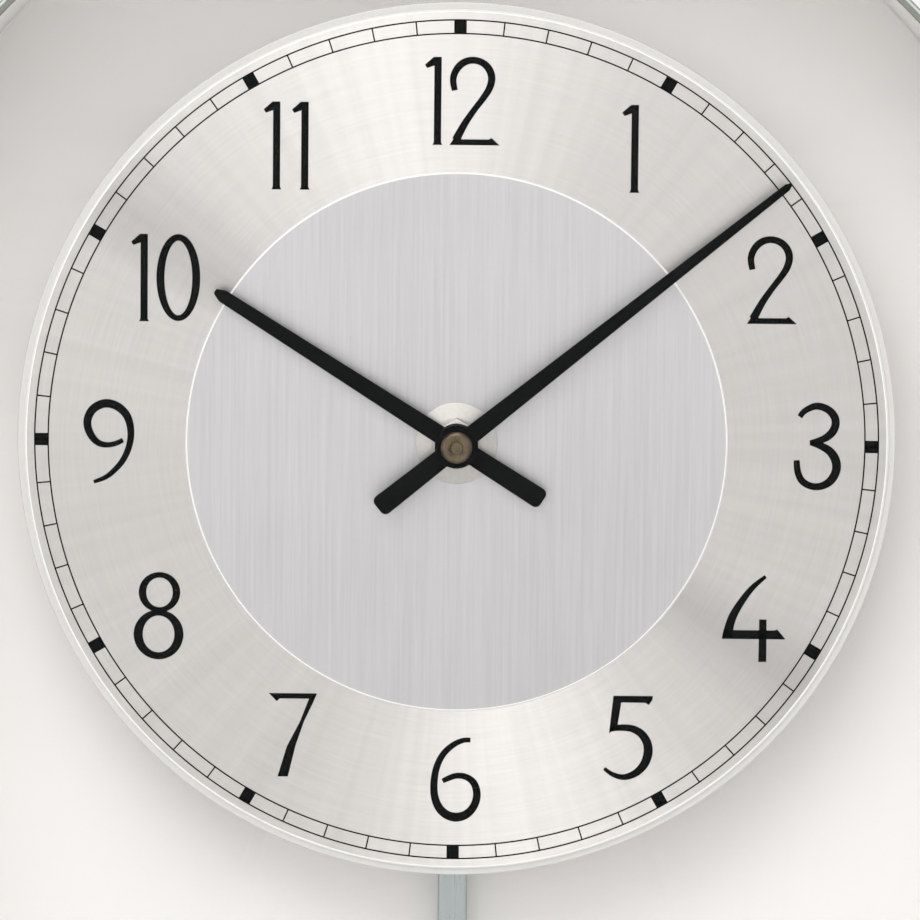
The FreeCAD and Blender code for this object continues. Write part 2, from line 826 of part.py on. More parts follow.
def movement_rear_cover():
    """The rear half of the housing, open over the battery, with the rear bearings."""
    cover = tray(movement_rear, movement_split, True)
    pieces = []
    for (x, z), _ in arbor_seats():
        pieces.append(disc(boss_radius - 0.4, inner_rear - 0.2, inner_rear + 0.7, x, z))
    pieces.append(disc(2.6, inner_rear - 0.2, inner_rear + 2.0))
    pieces.append(disc(2.6, movement_rear - 0.4, inner_rear + 3.0, 0, pivot_z))
    for side in (-1, 1):
        pieces.append(disc(stop_radius, movement_rear - stop_height, movement_rear + 0.5, side * stop_x(),
                           pivot_z - stop_drop))
    for x, z in housing_screw_places():
        pieces.append(disc(2.0, inner_rear - 0.2, movement_split, x, z))
    pieces.append(block(-housing_half + 1, housing_half - 1, inner_rear - 0.2, movement_split, partition_z,
                        partition_z + partition_thick))
    cover = cover.fuse(pieces).removeSplitter()
    window = round_box(-battery_length / 2 - 1.8, battery_length / 2 + 1.8, movement_rear - 1, inner_rear + 1,
                       partition_z + partition_thick, housing_top - housing_wall, 1.5)
    cover = cover.cut(window)
    cover = cover.cut(disc(arbor_seat + arbor_run, movement_rear - 1, inner_rear + 3))
    cover = cover.cut(disc(pivot_pin_radius, movement_rear - 1, inner_rear + 2.4, 0, pivot_z))
    for (x, z), _ in arbor_seats():
        cover = cover.cut(disc(arbor_thin + arbor_run, inner_rear - 0.5, inner_rear + 1, x, z))
    for x, z in housing_screw_places():
        cover = cover.cut(disc(m2, movement_rear - 1, movement_split + 1, x, z))
        cover = cover.cut(disc(m2_head + 0.1, movement_rear - 1, movement_rear + 1.4, x, z))
    return cover


def movement_screws():
    """Screws that close the housing, their heads sunk."""
    return [screw(m2, m2_head, at(x, movement_rear + 1.4, z), V(0, -1, 0), split_depth + 4, 1.2)
            for x, z in housing_screw_places()]


def mounting_gasket():
    """A rubber washer between housing and dial carrier."""
    return ring(11.0, bush_radius + 0.1, movement_front, carrier_back)


def fixing_washer():
    """The wide pale washer on the dial."""
    return ring(washer_radius, bush_radius + 0.1, centre_front, washer_front)


def fixing_nut():
    """A slim hexagon nut on the threaded bush."""
    corners = []
    for corner in range(6):
        angle = math.radians(30 + 60 * corner)
        corners.append((nut_radius * math.cos(angle), nut_radius * math.sin(angle)))
    nut = prism(corners, washer_front, nut_front)
    return nut.cut(disc(bush_radius, washer_front - 1, nut_front + 1))


# ---------------------------------------------------------------- battery and electronics
cell_air = 0.5
cell_round = 0.8
nub_radius = 2.6
nub_length = 1.2
contact_boss = 2.2
spring_wide = 4.4
spring_narrow = 3.0
spring_wall = 0.7
cell_depth = inner_rear + battery_radius + cell_air


def battery():
    """One round cell, lying across the housing."""
    start = -battery_length / 2
    body = Part.makeCylinder(battery_radius, battery_length - nub_length,
                             at(start, cell_depth, battery_height), V(1, 0, 0))
    body = body.makeFillet(cell_round, [e for e in body.Edges if isinstance(e.Curve, Part.Circle)])
    nub = Part.makeCylinder(nub_radius, 2.0, at(-start - 2.0, cell_depth, battery_height), V(1, 0, 0))
    return body.fuse(nub).removeSplitter()


def battery_contacts():
    """The flat contact for the nub and the coned spring for the base."""
    wall = housing_half - housing_wall
    flat = block(wall - contact_thick, wall, cell_depth - contact_half, cell_depth + contact_half,
                 battery_height - contact_half, battery_height + contact_half)
    boss = Part.makeCylinder(contact_boss, wall - contact_thick - battery_length / 2,
                             at(battery_length / 2, cell_depth, battery_height), V(1, 0, 0))
    plate = block(-wall, -wall + contact_thick, cell_depth - contact_half, cell_depth + contact_half,
                  battery_height - contact_half, battery_height + contact_half)
    cone_length = wall - contact_thick - battery_length / 2
    foot = at(-wall + contact_thick, cell_depth, battery_height)
    spring = Part.makeCone(spring_wide, spring_narrow, cone_length, foot, V(1, 0, 0))
    hollow = Part.makeCone(spring_wide - spring_wall, spring_narrow - spring_wall, cone_length, foot,
                           V(1, 0, 0))
    spring = spring.cut(hollow)
    return [flat.fuse(boss).removeSplitter(), plate.fuse(spring).removeSplitter()]


board_plane = inner_rear + 8.5
board_sides = (-25.0, 8.0)
board_ends = (-44.0, -30.5)
chip_radius = 3.2
chip_x = -10.0
parts_height = -37.0       # chip and crystal
crystal_radius = 1.5
crystal_length = 6.0
crystal_x = -1.0
crystal_round = 0.4


def circuit_board():
    """The board with its chip, below the train."""
    board = block(*board_sides, board_plane, board_plane + board_thick, *board_ends)
    chip = disc(chip_radius, board_plane - 1.0, board_plane, chip_x, parts_height)
    return board.fuse(chip).removeSplitter()


def quartz_crystal():
    """A small can that sets the rate."""
    can = Part.makeCylinder(crystal_radius, crystal_length,
                            at(crystal_x, board_plane - crystal_radius, parts_height), V(1, 0, 0))
    return can.makeFillet(crystal_round, [e for e in can.Edges if isinstance(e.Curve, Part.Circle)])


stator_eye = 5.5
stator_arm = 4.5
stator_air = 0.4           # round the rotor magnet
core_half = 1.6
core_thick = 1.2
core_over = 3.5            # core past each end of the winding
core_foot = 2.9
core_foot_half = 4.4
winding_radius = 2.8
flange_radius = 3.0
flange_thick = 0.8
stator_near = rotor_magnet_near + stator_air


def motor_stator():
    """Soft-iron plate with the hole for the rotor, and the core of the coil."""
    x, z = rotor_place
    arms = block(coil_span[0] - 4, x + stator_eye, stator_near, stator_near + stator_thick,
                 coil_height - stator_arm, coil_height + stator_arm)
    eye = disc(stator_eye, stator_near, stator_near + stator_thick, x, z)
    slot = block(coil_span[0] - 0.5, coil_span[1] + 0.5, stator_near - 1, stator_near + stator_thick + 1,
                 coil_height - 3.0, coil_height + 3.0)
    plate = arms.fuse(eye).removeSplitter()
    bore = disc(rotor_magnet_radius + stator_air, stator_near - 1, stator_near + 3, x, z)
    plate = plate.cut(slot).cut(bore)
    core = block(coil_span[0] - core_over, coil_span[1] + core_over, stator_near + stator_thick,
                 stator_near + stator_thick + core_thick, coil_height - core_half, coil_height + core_half)
    for end in (coil_span[0] - core_over, coil_span[1] + core_over - core_foot):
        foot = block(end, end + core_foot, stator_near + stator_thick - 0.2, stator_near + stator_thick + 0.4,
                     coil_height - core_foot_half, coil_height + core_foot_half)
        core = core.fuse(foot)
    return plate.fuse(core).removeSplitter()


def motor_coil():
    """The winding on its bobbin, round the core."""
    depth = stator_near + stator_thick + core_thick / 2
    start = at(coil_span[0], depth, coil_height)
    length = coil_span[1] - coil_span[0]
    winding = Part.makeCylinder(winding_radius, length, start, V(1, 0, 0))
    for shift in (0.0, length - flange_thick):
        winding = winding.fuse(Part.makeCylinder(flange_radius, flange_thick, start + V(shift, 0, 0),
                                                    V(1, 0, 0)))
    core = block(coil_span[0] - 1, coil_span[1] + 1, depth - core_thick / 2, depth + core_thick / 2,
                 coil_height - core_half, coil_height + core_half)
    return winding.removeSplitter().cut(core)


# ---------------------------------------------------------------- wheels
def phase_of_driver(heading):
    """A tooth of the driver lies on the line of centres."""
    return heading


def phase_of_driven(heading, teeth):
    """A gap of the driven gear lies on the line of centres."""
    return heading + 180 + 180 / teeth


def rotor():
    """The magnet and the first pinion on one arbor."""
    x, z = rotor_place
    magnet = disc(rotor_magnet_radius, rotor_magnet_near, rotor_magnet_far, x, z)
    leaf = gear(pinion_leaves, train_module, intermediate_plane - 0.5, intermediate_plane + 1.3, x, z,
                phase_of_driver(rotor_heading + 180), 0)
    shaft = disc(arbor_thin, inner_rear - 0.3, rotor_boss_end + boss_hole - 0.3, x, z)
    hub = disc(0.9, rotor_magnet_far - 0.1, intermediate_plane - 0.45, x, z)
    return magnet.fuse([leaf, shaft, hub]).removeSplitter()


def train_wheel(place, teeth, wheel_plane, wheel_phase, leaf_plane, leaf_phase, front_end):
    """A wheel and a pinion on one thin arbor."""
    x, z = place
    wheel = gear(teeth, train_module, wheel_plane, wheel_plane + wheel_thick, x, z, wheel_phase, 0)
    leaf = gear(pinion_leaves, train_module, leaf_plane - 0.5, leaf_plane - 0.5 + pinion_thick, x, z,
                leaf_phase, 0)
    hub = disc(1.0, wheel_plane - 0.6, leaf_plane - 0.4, x, z)
    shaft = disc(arbor_thin, inner_rear - 0.3, front_end + boss_hole - 0.3, x, z)
    return wheel.fuse([leaf, hub, shaft]).removeSplitter()


def intermediate_wheel():
    """Driven by the rotor, drives the third wheel."""
    return train_wheel(intermediate_place, intermediate_teeth, intermediate_plane,
                       phase_of_driven(rotor_heading + 180, intermediate_teeth), third_plane,
                       phase_of_driver(intermediate_heading + 180), intermediate_boss_end)


def third_wheel():
    """Driven by the intermediate wheel, drives the centre wheel."""
    return train_wheel(third_place, third_teeth, third_plane,
                       phase_of_driven(intermediate_heading + 180, third_teeth), centre_plane,
                       phase_of_driver(third_heading + 180), third_boss_end)


motion_module = 2 * motion_centre / (cannon_teeth + reversing_teeth)
hour_module = 2 * motion_centre / (reversing_leaves + hour_teeth)
cannon_near = centre_plane + wheel_thick + 0.7
cannon_far = cannon_near + 1.6
hour_plane = cannon_far + 0.5
hour_boss_near = bush_front + 0.5
hour_boss_far = hour_boss_near + 1.9
minute_boss_near = hour_boss_far + 0.9
minute_boss_far = minute_boss_near + 1.8
collar_near = centre_plane - 1.8
knob_far = movement_rear - 0.6


def centre_wheel():
    """Turns once an hour; the clutch spring drives the minute arbor from it."""
    return gear(centre_teeth, train_module, centre_plane, centre_plane + wheel_thick, 0, 0,
                phase_of_driven(third_heading + 180, centre_teeth), arbor_rear_radius + arbor_run)


def clutch_spring():
    """A dished washer between the collar of the arbor and the centre wheel."""
    near, far = collar_near + collar_thick, centre_plane - 0.1
    outer = cone(2.4, 3.4, near, far)
    inner = cone(arbor_rear_radius + 0.05, 2.9, near + 0.3, far + 0.1)
    return outer.cut(inner).cut(disc(arbor_rear_radius, near - 1, far + 1))


def minute_arbor():
    """The arbor of the minute hand, with its collar and the cannon pinion."""
    seat = disc(arbor_seat, minute_boss_near, minute_boss_far + hand_nut_thick - hand_nut_top)
    main = disc(arbor_radius, cannon_far, minute_boss_near)
    rear = disc(arbor_rear_radius, inner_rear + 2.3, cannon_far)
    tail = disc(arbor_seat, knob_far - knob_thick + 0.6, inner_rear + 2.3)
    collar = disc(collar_radius, collar_near, collar_near + collar_thick)
    cannon = gear(cannon_teeth, motion_module, cannon_near, cannon_far, 0, 0, phase_of_driver(270), 0)
    return seat.fuse([main, rear, tail, collar, cannon]).removeSplitter()


def reversing_wheel():
    """Turns on a pin of the front cover, between cannon pinion and hour wheel."""
    x, z = reversing_place
    wheel = gear(reversing_teeth, motion_module, cannon_near + 0.2, cannon_far - 0.2, x, z,
                 phase_of_driven(270, reversing_teeth), 0)
    leaf = gear(reversing_leaves, hour_module, cannon_far - 0.3, hour_plane + hour_wheel_thick + 0.3, x, z,
                phase_of_driver(90), 0)
    body = wheel.fuse(leaf).removeSplitter()
    return body.cut(disc(0.8 + arbor_run, cannon_near - 1, inner_front, x, z))


def hour_wheel():
    """The wheel of the hour hand and its tube, which turns inside the bush."""
    wheel = gear(hour_teeth, hour_module, hour_plane, hour_plane + hour_wheel_thick, 0, 0,
                 phase_of_driven(90, hour_teeth), 0)
    tube = disc(tube_radius, hour_plane, hour_boss_far)
    return wheel.fuse(tube).removeSplitter().cut(disc(tube_bore, hour_plane - 1, hour_boss_far + 1))


knob_round = 0.5
knob_ribs = 18
knob_groove = 0.45


def setting_knob():
    """The ribbed knob behind the movement that sets the hands."""
    knob = disc(knob_radius, knob_far - knob_thick, knob_far)
    knob = knob.makeFillet(knob_round, edges_at_depth(knob, knob_far - knob_thick))
    for rib in range(knob_ribs):
        angle = 2 * math.pi * rib / knob_ribs
        groove = disc(knob_groove, knob_far - knob_thick - 1, knob_far + 1, knob_radius * math.sin(angle),
                      knob_radius * math.cos(angle))
        knob = knob.cut(groove)
    return knob.cut(disc(arbor_seat, knob_far - knob_thick + 0.6, knob_far + 1))


# ---------------------------------------------------------------- hands
def hand(reach, tail, root_width, tip_width, point, near, angle, bore, boss_near, boss_far):
    """A straight tapered bar with a counter-tail, a pointed tip and a round boss."""
    shoulder = reach - point
    outline = [(-root_width / 2, -tail), (-tip_width / 2, shoulder), (-tip_width * hand_tip_flat, reach),
               (tip_width * hand_tip_flat, reach), (tip_width / 2, shoulder), (root_width / 2, -tail)]
    bar = prism(outline, near, near + hand_thick)
    tail_edges = [e for e in bar.Edges
                  if e.BoundBox.YLength > hand_thick - 1e-6 and e.BoundBox.ZMax < -tail + 1e-6]
    bar = bar.makeFillet(hand_tail_round, tail_edges)
    boss = disc(hand_boss_radius, boss_near, boss_far)
    boss = boss.makeChamfer(hand_boss_bevel, edges_at_depth(boss, boss_far))
    body = bar.fuse(boss).removeSplitter().cut(disc(bore, boss_near - 1, boss_far + 1))
    return turned(body, angle)


def hour_hand():
    """Pressed on the tube of the hour wheel."""
    return hand(hour_reach, hour_tail, hour_root_width, hour_tip_width, hour_point,
                hour_boss_near + hand_lift, hour_angle, tube_radius, hour_boss_near, hour_boss_far)


def minute_hand():
    """Sits on the seat of the minute arbor."""
    return hand(minute_reach, minute_tail, minute_root_width, minute_tip_width, minute_point,
                minute_boss_near + hand_lift, minute_angle, arbor_seat, minute_boss_near, minute_boss_far)


def hand_nut():
    """The round brass nut that clamps the minute hand."""
    nut = disc(hand_nut_radius, minute_boss_far, minute_boss_far + hand_nut_thick)
    nut = nut.makeFillet(hand_nut_round, edges_at_depth(nut, minute_boss_far + hand_nut_thick))
    return nut.cut(disc(arbor_seat, minute_boss_far - 1, minute_boss_far + hand_nut_thick - hand_nut_top))


# ---------------------------------------------------------------- pendulum
lever_far = movement_rear - 0.7
lever_near = lever_far - 2.6
clip_near = rod_depth - rod_thick / 2 - 2.6
rod_top = pivot_z - stud_drop + rod_above_stud
bob_near = rod_depth - bob_weight_thick / 2
bob_far = rod_depth + bob_weight_thick / 2
rating_radius = bob_weight_thick / 2 - 0.3


def pivot_pin():
    """The pin in the rear cover that the pendulum swings on."""
    return disc(pivot_pin_radius, clip_near - 0.4, inner_rear + 2.4, 0, pivot_z)


def pivot_clip():
    """The clip on the end of the pin."""
    return ring(2.3, pivot_pin_radius, clip_near, clip_near + clip_thick, 0, pivot_z)


def pendulum_lever():
    """The lever on the pivot pin, with the stud for the rod and the pocket for the magnet."""
    hub = disc(3.6, clip_near + clip_thick + 0.1, lever_far, 0, pivot_z)
    arm = block(-lever_half, lever_half, lever_near, lever_far, pivot_z - lever_end, pivot_z)
    head = disc(pendulum_magnet_radius + 1.2, lever_near, lever_far, 0, pivot_z - magnet_drop)
    stud = disc(stud_radius, rod_depth - rod_thick / 2 - 1.0, lever_near + 0.5, 0, pivot_z - stud_drop)
    cap = disc(stud_head, rod_depth - rod_thick / 2 - 1.3, rod_depth - rod_thick / 2 - 0.3, 0,
               pivot_z - stud_drop)
    body = hub.fuse([arm, head, stud, cap]).removeSplitter()
    body = body.cut(disc(pivot_pin_radius + arbor_run, clip_near, lever_far + 1, 0, pivot_z))
    return body.cut(disc(pendulum_magnet_radius, lever_far - pendulum_magnet_thick, lever_far + 1, 0,
                         pivot_z - magnet_drop))


def drive_magnet():
    """The magnet in the lever that the drive coil pushes."""
    return disc(pendulum_magnet_radius, lever_far - pendulum_magnet_thick, lever_far, 0,
                pivot_z - magnet_drop)


def drive_coil():
    """A flat coil inside the housing, behind the swinging magnet."""
    return ring(9.0, 3.0, inner_rear, inner_rear + 3.0, 0, pivot_z - magnet_drop)


def pendulum_rod():
    """A flat rod with eased edges, a keyhole at the top and a threaded end."""
    near, far = rod_depth - rod_thick / 2, rod_depth + rod_thick / 2
    low = bob_z - bob_weight_radius
    rod = block(-rod_width / 2, rod_width / 2, near, far, low, rod_top)
    long_edges = [e for e in rod.Edges if e.BoundBox.ZLength > rod_top - low - 1e-6]
    rod = rod.makeFillet(0.6, long_edges)
    end = Part.makeCylinder(rod_end_radius, rod_end_length, at(0, rod_depth, low - rod_end_length),
                            V(0, 0, 1))
    rod = rod.fuse(end).removeSplitter()
    z = pivot_z - stud_drop
    keyhole = disc(stud_head + 0.2, near - 1, far + 1, 0, z - 5.0)
    slot = block(-stud_radius, stud_radius, near - 1, far + 1, z - 5.0, z)
    return rod.cut(keyhole.fuse([slot, disc(stud_radius, near - 1, far + 1, 0, z)]))


def bob_slot():
    """The way through the bob for the rod."""
    return block(-rod_width / 2 - 0.1, rod_width / 2 + 0.1, rod_depth - rod_thick / 2 - 0.1,
                 rod_depth + rod_thick / 2 + 0.1, bob_z - bob_radius - 2, bob_z + bob_radius + 2)


weight_round = 1.5
bob_chamfer = 0.7
bob_rim = 5.0              # width of the raised rim
bob_recess = 0.8
rating_ribs = 20
rating_groove = 0.4


def bob_weight():
    """The heavy disc behind the face of the bob."""
    weight = disc(bob_weight_radius, bob_near, bob_far, 0, bob_z)
    weight = weight.makeFillet(weight_round, edges_at_depth(weight, bob_near))
    return weight.cut(bob_slot())


def bob_disc():
    """The spun face of the bob: a flat disc with a raised rim and a turned-back lip."""
    face = disc(bob_radius, bob_far, bob_far + bob_disc_thick, 0, bob_z)
    face = face.makeChamfer(bob_chamfer, edges_at_depth(face, bob_far + bob_disc_thick))
    return face.cut(disc(bob_radius - bob_rim, bob_far + bob_disc_thick - bob_recess, bob_far + 5, 0, bob_z))


def rating_nut():
    """The knurled nut below the bob."""
    top = bob_z - bob_weight_radius
    nut = Part.makeCylinder(rating_radius, rating_thick, at(0, rod_depth, top - rating_thick), V(0, 0, 1))
    for rib in range(rating_ribs):
        angle = 2 * math.pi * rib / rating_ribs
        groove = Part.makeCylinder(rating_groove, rating_thick + 2, V(rating_radius * math.cos(angle),
                                   -rod_depth + rating_radius * math.sin(angle), top - rating_thick - 1),
                                   V(0, 0, 1))
        nut = nut.cut(groove)
    return nut.cut(Part.makeCylinder(rod_end_radius, rating_thick + 2,
                                     at(0, rod_depth, top - rating_thick - 1), V(0, 0, 1)))


def plain_screws(places, length, head_height=1.8):
    """M3 screws from a list of heads and directions."""
    return [screw(m3, m3_head, start, direction, length, head_height) for start, direction in places]


os.makedirs("parts", exist_ok=True)
save("case_band", case_band())
save("bottom_rail", bottom_rail())
save("corner_brackets", corner_brackets())
save("corner_bracket_screws", plain_screws(corner_screws_side() + corner_screws_foot(),
                                           corner_thick + band_wall - 0.2))
save("back_panel", back_panel())
save("panel_brackets", panel_brackets())
save("panel_bracket_screws", plain_screws(hoop_screws() + [foot_bracket_screw()],
                                          bracket_thick + band_wall - 0.2)
     + plain_screws(panel_screws(), bracket_thick + panel_bite))
save("hanger_plate", hanger_plate())
save("hanger_screws", plain_screws(hanger_screw_places(), hanger_thick + panel_bite))
save("wall_bumpers", wall_bumpers())
save("door_glass", door_glass())
save("door_hinge_leaves", door_hinge_leaves())
save("case_hinge_leaves", case_hinge_leaves())
save("hinge_pins", hinge_pins())
save("hinge_leaf_screws", hinge_leaf_screws())
save("door_knob", door_knob())
save("knob_screw", knob_screw())
save("strike_disc", strike_disc())
save("catch_bracket", catch_bracket())
save("catch_screw", plain_screws([catch_screw()], catch_wall + band_wall - 0.2))
save("catch_magnet", disc(magnet_radius, catch_face - magnet_length, catch_face, door_knob_x, -knob_drop))
save("dial_posts", dial_posts())
save("post_screws", post_screws())
save("dial_carrier", dial_carrier())
save("carrier_screws", carrier_screws())
save("dial_ring", dial_ring())
save("dial_centre_disc", dial_centre_disc())
save("movement_front_cover", movement_front_cover())
save("movement_rear_cover", movement_rear_cover())
save("movement_screws", movement_screws())
save("mounting_gasket", mounting_gasket())
save("fixing_washer", fixing_washer())
save("fixing_nut", fixing_nut())
save("battery", battery())
save("battery_contacts", battery_contacts())
save("circuit_board", circuit_board())
save("quartz_crystal", quartz_crystal())
save("motor_stator", motor_stator())
save("motor_coil", motor_coil())
save("rotor", rotor())
save("intermediate_wheel", intermediate_wheel())
save("third_wheel", third_wheel())
save("centre_wheel", centre_wheel())
save("clutch_spring", clutch_spring())
save("minute_arbor", minute_arbor())
save("reversing_wheel", reversing_wheel())
save("hour_wheel", hour_wheel())
save("setting_knob", setting_knob())
save("hour_hand", hour_hand())
save("minute_hand", minute_hand())
save("hand_nut", hand_nut())
save("pivot_pin", pivot_pin())
save("pivot_clip", pivot_clip())
save("pendulum_lever", pendulum_lever())
save("drive_magnet", drive_magnet())
save("drive_coil", drive_coil())
save("pendulum_rod", pendulum_rod())
save("bob_weight", bob_weight())
save("bob_disc", bob_disc())
save("rating_nut", rating_nut())
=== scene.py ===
# %% [markdown]
# # Dressing a pendulum wall clock
# The frame holds every part of this clock at its real size: the arched case, the glass door, the
# dial, the quartz movement, the hands and the pendulum. This lesson changes none of those sizes.
# It makes a finer mesh for each piece that is seen, prints the dial, and gives every surface a
# finish of its own. The clock faces -Y, so "depth" below means the distance from the wall, -y.

# %% Load the clock
import json
import math

import bmesh
import bpy
from mathutils import Matrix, Vector


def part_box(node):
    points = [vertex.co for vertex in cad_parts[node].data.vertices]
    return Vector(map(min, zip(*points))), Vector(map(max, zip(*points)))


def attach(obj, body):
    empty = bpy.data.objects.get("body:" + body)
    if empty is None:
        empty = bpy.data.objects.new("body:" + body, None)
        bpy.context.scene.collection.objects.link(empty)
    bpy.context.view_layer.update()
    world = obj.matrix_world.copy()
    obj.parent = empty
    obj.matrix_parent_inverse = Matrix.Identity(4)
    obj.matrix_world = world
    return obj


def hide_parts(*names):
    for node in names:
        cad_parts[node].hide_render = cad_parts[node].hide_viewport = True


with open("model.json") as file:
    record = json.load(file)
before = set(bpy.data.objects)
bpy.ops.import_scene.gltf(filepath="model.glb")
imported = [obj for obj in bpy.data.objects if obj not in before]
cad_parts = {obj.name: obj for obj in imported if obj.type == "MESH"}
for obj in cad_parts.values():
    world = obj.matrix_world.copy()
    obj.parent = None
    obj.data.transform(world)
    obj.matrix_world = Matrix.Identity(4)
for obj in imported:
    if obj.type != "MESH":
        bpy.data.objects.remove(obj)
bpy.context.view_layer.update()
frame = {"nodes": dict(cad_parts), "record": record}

record = frame["record"]
mm = 0.001
body_of = {node: body for body, nodes in record["behaviour"]["bodies"].items() for node in nodes}

# %% [markdown]
# Measures come from the frame, so a clock packed at another size dresses itself the same way.
# A few small questions cover nearly everything: how deep does a part reach, where is its middle,
# how far does it spread from that middle, and how low does it come?

# %% Measures of a part
def depths(node):
    """Near and far depth of a part, from the wall towards the viewer."""
    low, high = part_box(node)
    return -high.y, -low.y


def middle(node):
    """The middle of a part's box."""
    low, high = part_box(node)
    return (low + high) / 2


def spread(node):
    """Half the width of a part."""
    low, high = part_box(node)
    return (high.x - low.x) / 2


def foot(node):
    """The height of a part's lowest point."""
    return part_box(node)[0].z


tip_zone = 0.2 * mm


def pointing(node):
    """The clockwise angle and the reach of a hand, from its furthest points."""
    points = [vertex.co for vertex in frame["nodes"][node].data.vertices]
    reach = max(math.hypot(point.x, point.z) for point in points)
    tip = [point for point in points if math.hypot(point.x, point.z) > reach - tip_zone]
    x, z = sum(point.x for point in tip), sum(point.z for point in tip)
    return math.atan2(x, z), reach


print("dial radius in mm:", round(spread("dial_ring") / mm, 2))
print("minute hand, degrees:", round(math.degrees(pointing("minute_hand")[0]), 1))

# %% [markdown]
# ## From a shape to a piece
# Every shape is drawn in a bmesh, a mesh that Python can edit freely. One function then finishes
# it: it turns the faces outwards, keeps true edges sharp and the rest smooth, hangs the piece on
# the body that it moves with, and hides the part of the frame it stands for. Points that lie
# closer together than a weld distance, in metres, are one point.

# %% Finish a piece
shape_weld, sheet_weld, solid_weld = 1e-8, 1e-7, 1e-6


def settle(name, mesh, finishes, body, stands_for=(), sharp=30):
    """Makes an object of a mesh and fastens it to its body."""
    for finish in finishes:
        mesh.materials.append(finish)
    mesh.shade_smooth()
    mesh.set_sharp_from_angle(angle=math.radians(sharp))
    piece = bpy.data.objects.new(name, mesh)
    bpy.context.scene.collection.objects.link(piece)
    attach(piece, body)
    if stands_for:
        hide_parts(*stands_for)
    print(f"{name}: {len(mesh.polygons)} faces on {body}")
    return piece


def settle_shape(name, bm, finishes, body, stands_for=(), sharp=30):
    """The same for a bmesh."""
    bmesh.ops.remove_doubles(bm, verts=bm.verts, dist=shape_weld)
    bmesh.ops.recalc_face_normals(bm, faces=bm.faces)
    mesh = bpy.data.meshes.new(name)
    bm.to_mesh(mesh)
    bm.free()
    return settle(name, mesh, finishes, body, stands_for, sharp)


# %% [markdown]
# No real edge is perfectly sharp, and the thin rounding along it is what catches the light. The
# easing helper rounds the corners of an outline. A rounding takes less than half of a side, and a
# holding point a little further out keeps the flat beside it flat. A second helper gives the place
# of a piece that looks at the viewer: heights along its axis are depths.

# %% Rounded corners
side_divisor, holding_reach = 2.6, 1.25


def facing(x=0.0, z=0.0, depth=0.0):
    """A place whose axis points at the viewer, so heights there are depths."""
    return Matrix.Translation((x, -depth, z)) @ Matrix.Rotation(math.radians(90), 4, "X")


def eased(points, radius, closed=False, steps=4):
    """Rounds the corners of an outline, with a holding point just outside each rounding."""
    count = len(points)
    result = []
    for index, point in enumerate(points):
        corner = Vector(point)
        if not closed and index in (0, count - 1):
            result.append(corner)
            continue
        before = Vector(points[index - 1]) - corner
        after = Vector(points[(index + 1) % count]) - corner
        reach = min(radius, before.length / side_divisor, after.length / side_divisor)
        start = corner + before.normalized() * reach
        end = corner + after.normalized() * reach
        result.append(corner + before.normalized() * reach * holding_reach)
        for step in range(steps + 1):
            t = step / steps
            result.append(start * (1 - t) ** 2 + corner * 2 * t * (1 - t) + end * t * t)
        result.append(corner + after.normalized() * reach * holding_reach)
    return result


# %% [markdown]
# Most of a clock is turned or stamped. The lathe spins a profile of (radius, height) points about
# an axis. It also writes a map named "turning", which runs round the piece: a brushed finish can
# follow it later. A point on the axis closes the shape there.

# %% The lathe
on_axis = 1e-9


def turn(bm, profile, place, segments=96, closed=False, finish=0):
    """Spins a profile round the axis of a place; finish is one number or one for each band."""
    turning = bm.loops.layers.uv.get("turning") or bm.loops.layers.uv.new("turning")
    rings = []
    for radius, height in profile:
        ring = []
        for step in range(segments if radius > on_axis else 1):
            angle = 2 * math.pi * step / segments
            point = Vector((radius * math.cos(angle), radius * math.sin(angle), height))
            ring.append(bm.verts.new(place @ point))
        rings.append((radius, ring))
    bands = list(zip(rings, rings[1:]))
    if closed:
        bands.append((rings[-1], rings[0]))
    for band, ((first_radius, first), (second_radius, second)) in enumerate(bands):
        for step in range(segments):
            corners = {}
            for ring, radius, column in ((first, first_radius, step), (first, first_radius, step + 1),
                                         (second, second_radius, step + 1), (second, second_radius, step)):
                corners[ring[column % len(ring)]] = (column / segments, radius)
            if len(corners) < 3:
                continue
            face = bm.faces.new(list(corners))
            face.material_index = finish[band] if isinstance(finish, (list, tuple)) else finish
            for loop in face.loops:
                loop[turning].uv = corners[loop.vert]


# %% [markdown]
# Flat pieces, such as the back panel or the glass, are sheets cut to an outline. A flat Blender
# curve does this well: it fills the outline, leaves holes open, and gives both faces a rounded
# edge. The sheet becomes a mesh first, and only then is it stood up in its place.

# %% Sheets cut to an outline
def sheet(outlines, near, far, ease):
    """The mesh of a sheet between two depths, from its outline in X and Z and those of its holes."""
    curve = bpy.data.curves.new("outline", "CURVE")
    curve.dimensions = "2D"
    curve.fill_mode = "BOTH"
    curve.bevel_depth = ease
    curve.bevel_resolution = 2
    curve.offset = -ease
    curve.extrude = (far - near) / 2 - ease
    for outline in outlines:
        spline = curve.splines.new("POLY")
        spline.points.add(len(outline) - 1)
        for point, (x, z) in zip(spline.points, outline):
            point.co = (x, z, 0, 1)
        spline.use_cyclic_u = True
    holder = bpy.data.objects.new("outline", curve)
    mesh = bpy.data.meshes.new_from_object(holder)
    bpy.data.objects.remove(holder)
    bpy.data.curves.remove(curve)
    mesh.transform(facing(depth=(near + far) / 2))
    mesh.materials.clear()
    bm = bmesh.new()
    bm.from_mesh(mesh)
    bmesh.ops.remove_doubles(bm, verts=bm.verts, dist=sheet_weld)
    bmesh.ops.recalc_face_normals(bm, faces=bm.faces)
    bm.to_mesh(mesh)
    bm.free()
    return mesh


# %% [markdown]
# The outlines of this clock are made of arcs and straight sides: the arch of the case, the square
# opening in its panel, the rounded tail of a hand.

